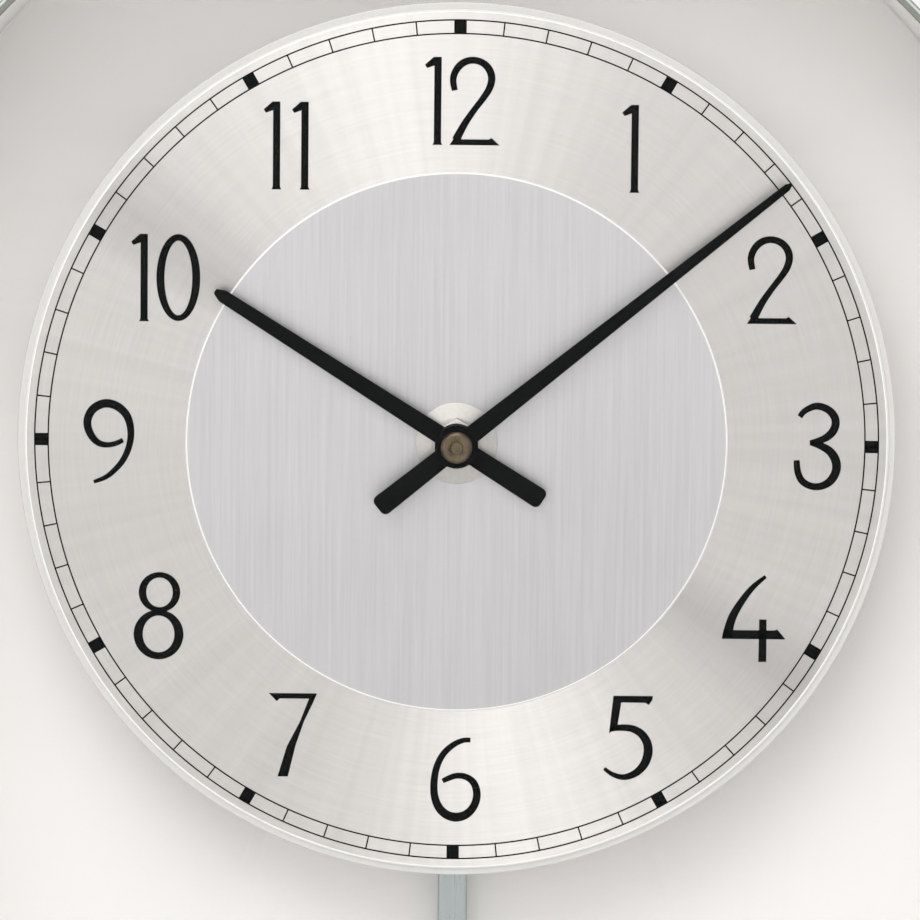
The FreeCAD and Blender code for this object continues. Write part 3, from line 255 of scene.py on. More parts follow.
# %% Outlines
def arc(radius, start, end, steps, x=0.0, z=0.0):
    """Points along an arc; angles are in degrees, clockwise from the top."""
    points = []
    for step in range(steps + 1):
        angle = math.radians(start + (end - start) * step / steps)
        points.append((x + radius * math.sin(angle), z + radius * math.cos(angle)))
    return points


arch_steps = 160


def arched(radius, low):
    """The outline of the case: half a circle on two straight sides."""
    return arc(radius, -90, 90, arch_steps) + [(radius, low), (-radius, low)]


corner_steps = 8


def round_square(half_x, low, high, corner):
    """A rectangle with rounded corners."""
    points = []
    for x, z, start in ((half_x, high, 0), (half_x, low, 90), (-half_x, low, 180), (-half_x, high, 270)):
        inward_x = x - math.copysign(corner, x)
        inward_z = z - corner if z == high else z + corner
        points += arc(corner, start, start + 90, corner_steps, inward_x, inward_z)
    return points


# %% [markdown]
# ## Finishes
# A finish is a node tree on the Principled shader. Nearly all of them share one idea: a fine
# noise, stretched along the way the surface was worked, moves colour, gloss and height a little,
# and a broad noise adds the soft patches of handling. Values that are the same all over stay on
# the shader's own sockets.

# %% Finish helpers
def wired(tree, kind, inputs=None, **settings):
    """Adds a node to any tree, sets its options, and links or fills its inputs."""
    node = tree.nodes.new(kind)
    for key, value in settings.items():
        setattr(node, key, value)
    for key, value in (inputs or {}).items():
        if isinstance(value, bpy.types.NodeSocket):
            tree.links.new(value, node.inputs[key])
        else:
            node.inputs[key].default_value = value
    return node


def add(tree, kind, inputs=None, **settings):
    """The same for a node of a finish."""
    return wired(tree, "ShaderNode" + kind, inputs, **settings)


def new_finish(name, **sockets):
    """A material and its shader, with constant values on the shader's sockets."""
    material = bpy.data.materials.new(name)
    material.use_nodes = True
    shader = material.node_tree.nodes["Principled BSDF"]
    for socket, value in sockets.items():
        shader.inputs[socket.replace("_", " ")].default_value = value
    return material, shader


def ramp(tree, factor, stops):
    """A colour ramp from (position, colour) stops."""
    node = add(tree, "ValToRGB", {"Fac": factor})
    elements = node.color_ramp.elements
    while len(elements) > 1:
        elements.remove(elements[-1])
    for index, (position, colour) in enumerate(stops):
        element = elements[0] if index == 0 else elements.new(position)
        element.position = position
        element.color = (*colour, 1.0)
    return node.outputs["Color"]


# %% [markdown]
# On top of those come the helpers for a worked surface. One mixes the fine noise with the broad
# one and drives colour, gloss and height with them, and the next makes a whole finish so.

# %% Worked surfaces
def math_node(tree, operation, *values):
    """The result of a sum, product and so on."""
    return add(tree, "Math", dict(enumerate(values)), operation=operation).outputs[0]


def shades(colour, share):
    """A colour made darker and lighter by a share."""
    return tuple(c * (1 - share) for c in colour), tuple(min(1.0, c * (1 + share)) for c in colour)


fine_share, patch_share = 0.65, 0.35
noise_low, noise_high = 0.28, 0.72
patch_scale = 18.0


def worked(tree, shader, colour, roughness, fine, patches, spread_colour, spread_rough, height):
    """Lets a fine pattern and broad patches move colour, gloss and height."""
    grain = math_node(tree, "MULTIPLY", fine, fine_share)
    both = math_node(tree, "MULTIPLY_ADD", patches, patch_share, grain)
    dark, light = shades(colour, spread_colour)
    tree.links.new(ramp(tree, both, [(noise_low, dark), (noise_high, light)]), shader.inputs["Base Color"])
    gloss = add(tree, "MapRange", {"Value": both, "From Min": noise_low, "From Max": noise_high,
                                   "To Min": roughness - spread_rough, "To Max": roughness + spread_rough})
    tree.links.new(gloss.outputs[0], shader.inputs["Roughness"])
    bump = add(tree, "Bump", {"Height": fine, "Distance": height, "Strength": 1.0})
    tree.links.new(bump.outputs[0], shader.inputs["Normal"])


def grained(name, colour, metallic, roughness, grain=1200.0, stretch=(1, 1, 1), colour_spread=0.08,
            rough_spread=0.06, height=0.004, detail=3.0, **sockets):
    """A finish with a fine grain, stretched along the way it was worked."""
    material, shader = new_finish(name, Metallic=metallic, **sockets)
    tree = material.node_tree
    place = add(tree, "TexCoord").outputs["Object"]
    along = add(tree, "Mapping", {"Vector": place, "Scale": stretch}).outputs[0]
    fine = add(tree, "TexNoise", {"Vector": along, "Scale": grain, "Detail": detail}).outputs[0]
    patches = add(tree, "TexNoise", {"Vector": place, "Scale": patch_scale, "Detail": 2.0}).outputs[0]
    worked(tree, shader, colour, roughness, fine, patches, colour_spread, rough_spread, height * mm)
    return material


# %% [markdown]
# The outer dial is aluminium brushed in circles on a turntable. Such a surface throws light in
# fans: where the strokes lie across the way to a lamp, the metal is bright, and a quarter turn
# further it is dull. The shader's anisotropy makes this happen live. A ramp round the dial also
# paints such fans into the metal's colour: painted reflection, bright and dull wedges that stay in
# place from every view. A noise that runs in short arcs gives the strokes themselves.

# %% Aluminium brushed in circles
def polar(tree, centre=(0.0, 0.0)):
    """The turn from 0 to 1, clockwise from the top, the radius, and the heading as two numbers."""
    place = add(tree, "TexCoord").outputs["Object"]
    split = add(tree, "SeparateXYZ", {0: place})
    x = math_node(tree, "SUBTRACT", split.outputs["X"], centre[0])
    z = math_node(tree, "SUBTRACT", split.outputs["Z"], centre[1])
    angle = math_node(tree, "ARCTAN2", x, z)
    lap = math_node(tree, "FRACT", math_node(tree, "DIVIDE", angle, 2 * math.pi))
    square = math_node(tree, "ADD", math_node(tree, "MULTIPLY", x, x), math_node(tree, "MULTIPLY", z, z))
    radius = math_node(tree, "SQRT", square)
    return lap, radius, math_node(tree, "DIVIDE", x, radius), math_node(tree, "DIVIDE", z, radius)


def strokes(tree, radius, side, up, arc_share, fineness):
    """A noise that runs in arcs: slow round the dial, quick from the middle outwards."""
    vector = add(tree, "CombineXYZ", {"X": math_node(tree, "MULTIPLY", side, arc_share),
                                      "Y": math_node(tree, "MULTIPLY", up, arc_share),
                                      "Z": math_node(tree, "MULTIPLY", radius, fineness)})
    return add(tree, "TexNoise", {"Vector": vector.outputs[0], "Scale": 1.0, "Detail": 3.0}).outputs[0]


stroke_depth = 0.0015 * mm
gloss_down, gloss_up = 0.05, 0.06


def brushed_round(name, tones, roughness, centre=(0.0, 0.0), streak=0.05, anisotropy=0.6, level=1.0):
    """Metal brushed in circles, with a ramp of painted reflection fans round it and a level for all of them.
    """
    material, shader = new_finish(name, Metallic=1.0, Anisotropic=anisotropy, Anisotropic_Rotation=0.25)
    tree = material.node_tree
    lap, radius, side, up = polar(tree, centre)
    fine = strokes(tree, radius, side, up, arc_share=5.0, fineness=1500.0)
    fans = strokes(tree, radius, side, up, arc_share=34.0, fineness=6.0)
    # the ramp paints bright and dull reflection fans into the base colour, fixed on the metal
    painted_fan_colour = ramp(tree, lap, tones)
    amount = level
    for noise in (fine, fans):
        amount = math_node(tree, "MULTIPLY_ADD", math_node(tree, "SUBTRACT", noise, 0.5), streak, amount)
    shaded = add(tree, "VectorMath", {0: painted_fan_colour, "Scale": amount}, operation="SCALE").outputs[0]
    tree.links.new(shaded, shader.inputs["Base Color"])
    gloss = add(tree, "MapRange", {"Value": fine, "From Min": 0.3, "From Max": 0.7,
                                   "To Min": roughness - gloss_down, "To Max": roughness + gloss_up})
    tree.links.new(gloss.outputs[0], shader.inputs["Roughness"])
    bump = add(tree, "Bump", {"Height": fine, "Distance": stroke_depth, "Strength": 1.0})
    tree.links.new(bump.outputs[0], shader.inputs["Normal"])
    tangent = add(tree, "Tangent", direction_type="UV_MAP", uv_map="turning")
    tree.links.new(tangent.outputs[0], shader.inputs["Tangent"])
    return material


# %% [markdown]
# Painted reflection lies as fans on an even aluminium grey: a wide bright one at the top and at
# the bottom, and a narrow dull one shortly before each. A fan is given by the angle of its middle,
# half its width and the grey there, and a cosine joins it to the even grey. The bob has a calmer set.

# %% Painted reflections round the dial
even_grey = 0.66
aluminium_tint = (1.0, 0.967, 0.94)
fan_steps = 3


def tones(*fans):
    """Painted reflection stops round the dial, from the middle, half width (in degrees) and grey of each fan.
    """
    def grey_at(turn):
        grey = even_grey
        for middle_at, half_width, fan_grey in fans:
            away = abs((turn - middle_at + 180) % 360 - 180) / half_width
            if away < 1:
                grey += (fan_grey - even_grey) * (1 + math.cos(math.pi * away)) / 2
        return grey
    turns = {0.0, 360.0}
    for middle_at, half_width, _ in fans:
        turns |= {(middle_at + half_width * step / fan_steps) % 360
                  for step in range(-fan_steps, fan_steps + 1)}
    return [(turn / 360, tuple(grey_at(turn) * share for share in aluminium_tint)) for turn in sorted(turns)]


# Painted reflection: each fan is a bright or dull wedge of grey in the colour, standing for light a brushed
# disc catches under these lamps; the bob gets a calmer set.
dial_painted_reflection = tones((170, 35, 0.93), (350, 35, 0.80), (125, 12, 0.54), (305, 12, 0.52))
bob_painted_reflection = tones((170, 35, 0.76), (350, 35, 0.76), (125, 15, 0.58), (305, 15, 0.58))
dial_brushed = brushed_round("dial_brushed", dial_painted_reflection, 0.34, streak=0.16, anisotropy=0.35, level=0.84)
bob_brushed = brushed_round("bob_brushed", bob_painted_reflection, 0.30,
                            (middle("bob_disc").x, middle("bob_disc").z), streak=0.09)
print("tones round the dial:", len(dial_painted_reflection))

# %% [markdown]
# The other metals differ in grain and gloss. The centre of the dial is brushed upright, so its
# noise is stretched along Z. Cut edges are polished and hardly grained. Zinc plating has a
# cloudy, slightly bluish look, and brass is warm and a little tarnished.

# %% Metals
centre_brushed = grained("centre_brushed", (0.53, 0.522, 0.53), 1.0, 0.42, grain=1700.0,
                         stretch=(1, 1, 0.02), colour_spread=0.09, rough_spread=0.05, height=0.0015)
polished_edge = grained("polished_edge", (0.95, 0.95, 0.94), 0.25, 0.30, grain=900.0, colour_spread=0.03,
                        rough_spread=0.03, height=0.0005)
case_satin = grained("case_satin", (0.27, 0.27, 0.25), 0.9, 0.36, grain=2200.0, colour_spread=0.06,
                     rough_spread=0.05, height=0.002)
zinc = grained("zinc", (0.58, 0.59, 0.61), 1.0, 0.34, grain=260.0, colour_spread=0.12, rough_spread=0.10,
               height=0.003)
nickel_satin = grained("nickel_satin", (0.60, 0.59, 0.56), 1.0, 0.28, grain=1800.0, stretch=(1, 1, 0.08),
                       colour_spread=0.06, rough_spread=0.05, height=0.002)
turned_steel = grained("turned_steel", (0.64, 0.64, 0.64), 1.0, 0.26, grain=2600.0, stretch=(0.2, 1, 0.2),
                       colour_spread=0.06, rough_spread=0.05, height=0.001)
rod_brushed = grained("rod_brushed", (0.40, 0.44, 0.44), 1.0, 0.30, grain=2600.0, stretch=(1, 1, 0.02),
                      colour_spread=0.07, rough_spread=0.06, height=0.002)
brass_hub = grained("brass_hub", (0.12, 0.092, 0.06), 1.0, 0.34, grain=700.0, colour_spread=0.6,
                    rough_spread=0.12, height=0.04)
brass_turned = grained("brass_turned", (0.62, 0.46, 0.22), 1.0, 0.28, grain=1600.0, stretch=(1, 1, 0.3),
                       colour_spread=0.10, rough_spread=0.06, height=0.002)
pale_plating = grained("pale_plating", (0.52, 0.50, 0.475), 1.0, 0.36, grain=1100.0, colour_spread=0.10,
                       rough_spread=0.06, height=0.002)
copper_wire = grained("copper_wire", (0.55, 0.22, 0.08), 1.0, 0.35, grain=3000.0, stretch=(1, 0.05, 0.05),
                      colour_spread=0.25, rough_spread=0.10, height=0.02)
soft_iron = grained("soft_iron", (0.36, 0.36, 0.36), 1.0, 0.45, grain=800.0, colour_spread=0.12)
ferrite = grained("ferrite", (0.07, 0.07, 0.075), 0.3, 0.55, grain=1500.0, colour_spread=0.2, height=0.01)
weight_grey = grained("weight_grey", (0.26, 0.26, 0.27), 0.6, 0.5, grain=900.0, colour_spread=0.12,
                      height=0.01)
bright_can = grained("bright_can", (0.75, 0.75, 0.74), 1.0, 0.16, grain=500.0, colour_spread=0.05)
print("finishes so far:", len(bpy.data.materials))

# %% [markdown]
# Paint, plastic, rubber and print are not metal: their colour comes from inside, and only a thin
# skin shines. The panel is a silver lacquer with fine flakes, so its grain is tiny and its tone
# almost white. The hands are sprayed matte black, and the print is thin ink.

# %% Paint, plastic and rubber
panel_silver = grained("panel_silver", (0.885, 0.865, 0.85), 0.0, 0.42, grain=5200.0, colour_spread=0.03,
                       rough_spread=0.05, height=0.001, detail=1.0)
carrier_silver = grained("carrier_silver", (0.66, 0.65, 0.635), 0.2, 0.45, grain=2600.0, stretch=(1, 1, 0.1),
                         colour_spread=0.04, rough_spread=0.05, height=0.001)
hand_paint = grained("hand_paint", (0.002, 0.002, 0.0022), 0.0, 0.6, grain=3200.0, colour_spread=0.25,
                     rough_spread=0.07, height=0.004, Specular_IOR_Level=0.05)
dial_ink = grained("dial_ink", (0.002, 0.002, 0.0022), 0.0, 0.6, grain=4000.0, colour_spread=0.2,
                   height=0.001, Specular_IOR_Level=0.05)
housing_black = grained("housing_black", (0.018, 0.018, 0.019), 0.0, 0.55, grain=2600.0, colour_spread=0.2,
                        rough_spread=0.08, height=0.012)
knob_plastic = grained("knob_plastic", (0.60, 0.60, 0.58), 0.0, 0.45, grain=2600.0, colour_spread=0.05,
                       height=0.006)
nylon = grained("nylon", (0.80, 0.79, 0.72), 0.0, 0.42, grain=900.0, colour_spread=0.05, height=0.003)
rubber = grained("rubber", (0.022, 0.022, 0.023), 0.0, 0.72, grain=1800.0, colour_spread=0.2,
                 height=0.01)
board_mask = grained("board_mask", (0.02, 0.14, 0.06), 0.0, 0.30, grain=900.0, colour_spread=0.2,
                     height=0.004)
cell_wrap = grained("cell_wrap", (0.035, 0.08, 0.11), 0.35, 0.30, grain=700.0, colour_spread=0.12,
                    height=0.001, Coat_Weight=0.4, Coat_Roughness=0.1)

# %% [markdown]
# Clear glass hardly shows from the front, so its face lets nearly everything through and keeps
# a faint gloss. Its ground rim is another matter: light travels inside the pane and comes out
# there, pale green and frosted. Two finishes on one pane give both.

# %% Glass
def glass_finish(name, colour, alpha, roughness, grain):
    """Glass seen through by alpha, with a faint unevenness in its gloss."""
    material, shader = new_finish(name, Alpha=alpha, IOR=1.5)
    tree = material.node_tree
    place = add(tree, "TexCoord").outputs["Object"]
    fine = add(tree, "TexNoise", {"Vector": place, "Scale": grain, "Detail": 2.0}).outputs[0]
    patches = add(tree, "TexNoise", {"Vector": place, "Scale": 9.0}).outputs[0]
    worked(tree, shader, colour, roughness, fine, patches, spread_colour=0.06,
           spread_rough=roughness * 0.3, height=0.0005 * mm)
    return material


glass_face = glass_finish("glass_face", (0.03, 0.05, 0.04), 0.03, 0.04, 60.0)
glass_rim = glass_finish("glass_rim", (0.62, 0.70, 0.66), 0.55, 0.30, 1500.0)
print("finishes:", len(bpy.data.materials))

# %% [markdown]
# ## The case
# The case is one strip of aluminium bent over a former, with a flat foot between its ends and a
# lacquered panel inside. The strip is drawn as a thin arch and given its depth as a sheet, so
# both of its long edges are eased as on a bent strip. Its inside is lacquered like the panel: those
# are the faces near the inner wall that don't look forwards or back. The panel has a square opening
# behind the dial, through which a hand reaches the cell.

# %% Case and panel
case_radius, case_foot = spread("case_band"), foot("case_band")
rail_low, rail_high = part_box("bottom_rail")
band_wall = case_radius - rail_high.x
inner_radius = case_radius - band_wall
edge_ease, rail_ease, panel_ease = 0.5 * mm, 0.3 * mm, 0.3 * mm

strip = [(-case_radius, case_foot)] + arc(case_radius, -90, 90, arch_steps) + [(case_radius, case_foot)]
strip += [(inner_radius, case_foot)] + arc(inner_radius, 90, -90, arch_steps) + [(-inner_radius, case_foot)]
band = settle("case_strip", sheet([strip], *depths("case_band"), edge_ease), [case_satin, panel_silver],
              "case", ["case_band"], sharp=15)
inner_face, level_face = 0.96, 0.2
for face in band.data.polygons:
    x, z = face.center.x, face.center.z
    within = case_radius - (math.hypot(x, z) if z > 0 else abs(x))
    lacquered = within > band_wall * inner_face and abs(face.normal.y) < level_face
    face.material_index = 1 if lacquered else 0

rail = [(rail_low.x, rail_low.z), (rail_high.x, rail_low.z), (rail_high.x, rail_high.z),
        (rail_low.x, rail_high.z)]
settle("case_foot", sheet([rail], *depths("bottom_rail"), rail_ease), [case_satin], "case",
       ["bottom_rail"], sharp=15)

access_half, access_corner = 33.0 * mm, 5.0 * mm
opening = round_square(access_half, -access_half, access_half, access_corner)
panel_outline = arched(spread("back_panel"), foot("back_panel"))
settle("panel_sheet", sheet([panel_outline, opening], *depths("back_panel"), panel_ease), [panel_silver],
       "case", ["back_panel"], sharp=15)

# %% [markdown]
# The door is a single pane, arched like the case. The faces that look forwards or back get the
# clear finish, and the rest, the ground rim, gets the frosted one.

# %% Door glass
glass_ease = 0.6 * mm
front_or_back = 0.99
pane = sheet([arched(spread("door_glass"), foot("door_glass"))], *depths("door_glass"), glass_ease)
door = settle("door_pane", pane, [glass_face, glass_rim], "door", ["door_glass"], sharp=15)
for face in door.data.polygons:
    face.material_index = 0 if abs(face.normal.y) > front_or_back else 1

# %% [markdown]
# The knob is turned from bar: a slim waisted neck and a domed cap. Behind the glass sits the steel
# disc that the magnet of the catch pulls. All three are the same few lines with another profile.

# %% Knob, strike and catch magnet
def turned_piece(name, node, profile, finish, ease, segments=96):
    """A round piece on an axis towards the viewer, from a profile in metres."""
    place = middle(node)
    bm = bmesh.new()
    turn(bm, eased(profile, ease), facing(place.x, place.z), segments)
    return settle_shape(name, bm, [finish], body_of[node], [node], sharp=40)


def disc_profile(radius, near, far):
    """A plain disc, closed on its axis."""
    return [(0, near), (radius, near), (radius, far), (0, far)]


knob_near, knob_far = depths("door_knob")
knob_radius = spread("door_knob")
neck_radius, neck_length = knob_radius * 0.62, 5.0 * mm
neck_end = knob_near + neck_length
waist_radius, waist = neck_radius * 0.9, knob_near + neck_length * 0.5
cap_radius, cap_drop = knob_radius * 0.8, 1.0 * mm
turned_piece("door_knob_turned", "door_knob",
             [(0, knob_near), (neck_radius, knob_near), (waist_radius, waist), (neck_radius, neck_end),
              (knob_radius, neck_end), (knob_radius, knob_far - cap_drop), (cap_radius, knob_far),
              (0, knob_far)], nickel_satin, ease=0.7 * mm)
for name, node, finish, ease in (("strike_plate", "strike_disc", zinc, 0.25 * mm),
                                 ("catch_magnet_disc", "catch_magnet", ferrite, 0.3 * mm)):
    turned_piece(name, node, disc_profile(spread(node), *depths(node)), finish, ease)

# %% [markdown]
# ## The dial
# Two discs of aluminium lie on a stiff carrier that shows as a pale border round them. Both have
# a cut edge that is brighter than their face. The edge is a narrow band of its own in the profile,
# so it takes the polished finish while the faces take the brushed ones. A step for every degree
# keeps the rim truly round in close-up.

# %% Dial plates
dial_radius = spread("dial_ring")
dial_near, dial_far = depths("dial_ring")
centre_radius = spread("dial_centre_disc")
carrier_near = depths("dial_carrier")[0]
centre_far = depths("dial_centre_disc")[1]
bore_share = 0.63
bore = spread("fixing_nut") * bore_share
print("bore in mm:", round(bore / mm, 2))
dial_bevel, centre_bevel, cut_border = 0.45 * mm, 0.3 * mm, 0.2 * mm
round_steps = 360


def dial_plate(name, node, radius, near, far, bevel, face, flats):
    """A disc with a hole, a brushed face and a polished cut edge."""
    profile = [(bore, near), (radius, near), (radius, far - bevel), (radius - bevel, far)]
    inside = radius - bevel - cut_border
    profile += [(inside - (inside - bore) * step / flats, far) for step in range(flats + 1)]
    finishes = [0, 1, 1, 1] + [0] * flats + [0]
    bm = bmesh.new()
    turn(bm, profile, facing(), round_steps, closed=True, finish=finishes)
    return settle_shape(name, bm, [face, polished_edge], "case", [node])


carrier_radius, carrier_ease = spread("dial_carrier"), 0.3 * mm
carrier = bmesh.new()
turn(carrier, eased([(bore, carrier_near), (carrier_radius, carrier_near), (carrier_radius, dial_near),
                     (bore, dial_near)], carrier_ease, closed=True), facing(), round_steps, closed=True)
settle_shape("carrier_plate", carrier, [carrier_silver], "case", ["dial_carrier"])
dial_plate("dial_plate", "dial_ring", dial_radius, dial_near, dial_far, dial_bevel, dial_brushed, flats=8)
dial_plate("centre_plate", "dial_centre_disc", centre_radius, dial_far, centre_far, centre_bevel,
           centre_brushed, flats=6)

# %% [markdown]
# ## The print
# The numerals belong to no font: they are light, open figures with slightly flared ends, as a
# dial painter would draw them. Each is made of strokes. A stroke follows a few points, each with
# the width of the pen there, and a smooth curve joins them. Straight parts are small outlines.
# All of it is ink, a few hundredths of a millimetre thick.

# %% Strokes and bars
ink_top = 0.04 * mm
ink_root = -0.02 * mm


def solid(bm, upper, lower, strips):
    """Closes a flat shape into a thin solid; strips are its front faces as lists of indices."""
    front = [bm.verts.new(point) for point in upper]
    back = [bm.verts.new(point) for point in lower]
    for strip_face in strips:
        bm.faces.new([front[index] for index in strip_face])
        bm.faces.new([back[index] for index in reversed(strip_face)])
    return front, back


def smooth_path(points, closed, steps=6):
    """A curve through all points, with the pen's width as the third number."""
    count = len(points)
    vectors = [Vector(point) for point in points]
    result = []
    for index in range(count if closed else count - 1):
        if closed:
            a, b, c, d = (vectors[(index + shift) % count] for shift in (-1, 0, 1, 2))
        else:
            a, b = vectors[max(index - 1, 0)], vectors[index]
            c, d = vectors[index + 1], vectors[min(index + 2, count - 1)]
        for step in range(steps):
            t = step / steps
            result.append(0.5 * (2 * b + (c - a) * t + (2 * a - 5 * b + 4 * c - d) * t * t
                                 + (3 * b - a - 3 * c + d) * t ** 3))
    return result if closed else result + [vectors[-1]]


def pen_stroke(bm, place, points, closed=False):
    """A stroke of ink along a smooth path of (x, z, width) points in millimetres."""
    path = smooth_path(points, closed)
    count = len(path)
    left, right = [], []
    for index, point in enumerate(path):
        after = path[(index + 1) % count if closed else min(index + 1, count - 1)]
        before = path[index - 1 if closed or index else 0]
        way = (after - before).to_2d().normalized()
        side = Vector((-way.y, way.x)) * point.z / 2
        left.append(point.to_2d() + side)
        right.append(point.to_2d() - side)
    outline = left + right
    upper = [place @ Vector((p.x * mm, p.y * mm, ink_top)) for p in outline]
    lower = [place @ Vector((p.x * mm, p.y * mm, ink_root)) for p in outline]
    last = count if closed else count - 1
    strips = [[i, (i + 1) % count, count + (i + 1) % count, count + i] for i in range(last)]
    front, back = solid(bm, upper, lower, strips)
    for i in range(last):
        n = (i + 1) % count
        bm.faces.new([front[n], front[i], back[i], back[n]])
        bm.faces.new([front[count + i], front[count + n], back[count + n], back[count + i]])
    if not closed:
        for i, j in ((0, count), (2 * count - 1, count - 1)):
            bm.faces.new([front[i], front[j], back[j], back[i]])


# %% [markdown]
# The other two kinds of part are a bar, cut straight like a stencil, and a closed oval for the
# rounds of an 8 or a 0, whose pen is broad at the sides and fine at the top and bottom.

# %% Bars and ovals
def bar(bm, place, outline):
    """A straight-sided shape of ink, from its outline in millimetres."""
    count = len(outline)
    upper = [place @ Vector((x * mm, z * mm, ink_top)) for x, z in outline]
    lower = [place @ Vector((x * mm, z * mm, ink_root)) for x, z in outline]
    front, back = solid(bm, upper, lower, [list(range(count))])
    for i in range(count):
        n = (i + 1) % count
        bm.faces.new([front[n], front[i], back[i], back[n]])


oval_points = 16


def loop(x, z, half_x, half_z, side_width, top_width, bottom_width):
    """A closed oval: middle line and the pen's width at sides, top and bottom."""
    points = []
    for step in range(oval_points):
        angle = 2 * math.pi * step / oval_points
        up = math.cos(angle)
        end_width = top_width if up > 0 else bottom_width
        width = side_width + (end_width - side_width) * up * up
        points.append((x + half_x * math.sin(angle), z + half_z * up, width))
    return points


# %% [markdown]
# Each figure is its width and its parts, in millimetres from its lower left corner, about 22 tall.
# An "s" is a pen stroke, an "o" a closed one and a "b" a bar.

# %% Figures
figures = {
    "1": (4.4, [("b", [(0, 19.8), (0.6, 18.95), (2.35, 19.6), (2.35, 0.7), (2.0, 0), (4.5, 0), (4.15, 0.7),
                       (4.15, 21.75), (2.2, 21.75)])]),
    "2": (12.4, [("s", [(1.25, 13.5, 1.5), (0.8, 16.2, 1.65), (1.6, 18.6, 1.75), (3.3, 20.35, 1.8),
                        (5.6, 21.0, 1.7), (8.0, 20.4, 1.75), (9.7, 18.75, 1.85), (10.35, 16.5, 1.85),
                        (9.75, 14.0, 1.75), (8.25, 11.6, 1.6), (6.1, 8.75, 1.55), (3.75, 5.25, 1.75),
                        (1.6, 1.2, 2.1)]),
                 ("b", [(0, 0), (1.0, 1.45), (9.8, 1.45), (10.4, 1.85), (12.5, 0)])]),
    "3": (11.9, [("s", [(1.25, 18.3, 1.4), (2.5, 19.8, 1.5), (5.25, 21.0, 1.75), (8.0, 20.3, 1.9),
                        (9.75, 18.6, 2.0), (10.2, 16.6, 2.05), (9.4, 14.5, 2.05), (7.3, 12.8, 1.8),
                        (3.9, 11.8, 1.2)]),
                 ("s", [(3.9, 11.8, 1.2), (6.5, 11.1, 1.8), (9.0, 9.6, 2.1), (10.4, 7.3, 2.25),
                        (10.5, 4.8, 2.2), (9.25, 2.4, 2.1), (7.0, 1.0, 1.85), (4.5, 0.9, 1.75),
                        (2.1, 2.2, 1.75), (0.95, 4.6, 1.7), (0.65, 7.4, 1.5)])]),
    "4": (16.0, [("s", [(10.75, 21.6, 0.9), (7.5, 18.75, 1.4), (4.75, 15.1, 1.75), (2.5, 11.0, 2.1),
                        (1.3, 6.4, 2.4)]),
                 ("b", [(0, 5.75), (0.4, 8.0), (13.3, 8.0), (13.8, 8.3), (16.0, 5.75)]),
                 ("b", [(9.25, 0), (11.25, 0), (11.15, 10.75), (9.3, 10.75)])]),
    "5": (12.4, [("b", [(2.5, 21.5), (4.5, 19.8), (10.5, 19.75), (11.4, 19.2), (12.3, 20.5), (12.4, 21.5)]),
                 ("b", [(2.5, 21.5), (4.5, 19.8), (3.6, 13.6), (1.5, 11.9)]),
                 ("s", [(1.9, 12.9, 1.1), (4.2, 13.4, 1.6), (7.2, 13.2, 1.8), (9.6, 11.9, 2.05),
                        (11.1, 9.6, 2.2), (11.35, 6.9, 2.3), (10.4, 4.1, 2.15), (8.3, 1.9, 1.85),
                        (5.4, 0.85, 1.5), (2.6, 1.5, 1.2), (0.4, 3.0, 0.9)])]),
    "6": (12.6, [("s", [(9.9, 20.9, 1.2), (7.9, 20.75, 1.3), (5.4, 19.5, 1.5), (3.1, 17.25, 1.6),
                        (1.6, 14.25, 1.7), (0.9, 10.75, 1.8), (0.95, 7.0, 1.9), (2.0, 3.9, 2.1),
                        (4.0, 1.9, 2.2), (6.5, 1.25, 2.3), (9.0, 2.0, 2.15), (10.9, 4.1, 2.0),
                        (11.65, 7.0, 1.95), (10.9, 9.9, 1.8), (8.9, 11.5, 1.6), (6.5, 11.8, 1.5),
                        (4.4, 11.1, 1.4), (3.0, 10.4, 1.2)])]),
    "7": (12.1, [("b", [(0, 21.25), (2.0, 19.2), (2.8, 19.9), (11.0, 19.9), (12.1, 21.25)]),
                 ("b", [(12.1, 21.25), (10.1, 19.95), (7.9, 14.2), (4.6, 7.8), (2.3, 0.1), (4.9, 0.1),
                        (6.8, 8.0), (8.9, 14.2), (11.3, 19.3)])]),
    "8": (12.5, [("o", (6.45, 17.05, 4.25, 4.4, 1.9, 1.4, 1.3)),
                 ("o", (6.25, 6.45, 5.1, 5.45, 2.3, 1.5, 1.8))]),
    "9": (12.8, [("s", [(9.9, 11.25, 1.2), (8.1, 10.4, 1.3), (5.9, 10.0, 1.4), (3.6, 10.6, 1.65),
                        (1.75, 12.75, 1.9), (1.0, 15.6, 2.0), (1.9, 18.3, 2.1), (3.8, 19.9, 2.15),
                        (6.1, 20.4, 2.15), (8.6, 19.6, 2.1), (10.6, 17.75, 2.0), (11.6, 15.25, 1.85),
                        (11.85, 12.25, 1.7), (11.2, 9.0, 1.6), (9.75, 6.0, 1.5), (7.6, 3.5, 1.35),
                        (5.4, 1.8, 1.2), (2.6, 0.7, 0.9)])]),
    "0": (10.9, [("o", (5.45, 10.9, 4.45, 10.05, 2.0, 1.65, 1.45))]),
}
print("figures:", len(figures))

# %% [markdown]
# The hours have their places, in millimetres from the hub, as a painter sets them, and so
# have the gaps in the numbers of two figures. All of them become one piece of ink.

# %% The hours
figure_height = 21.8
pair_gap = {"10": 1.9, "11": 2.6, "12": 1.8}
hour_places = {12: (0.6, 85.1), 1: (42.4, 73.7), 2: (78.0, 41.4), 3: (90.1, 0.0), 4: (74.8, -43.5),
               5: (43.6, -73.9), 6: (0.6, -84.9), 7: (-40.4, -73.8), 8: (-74.1, -44.4), 9: (-86.6, -0.4),
               10: (-72.6, 40.6), 11: (-42.8, 73.7)}


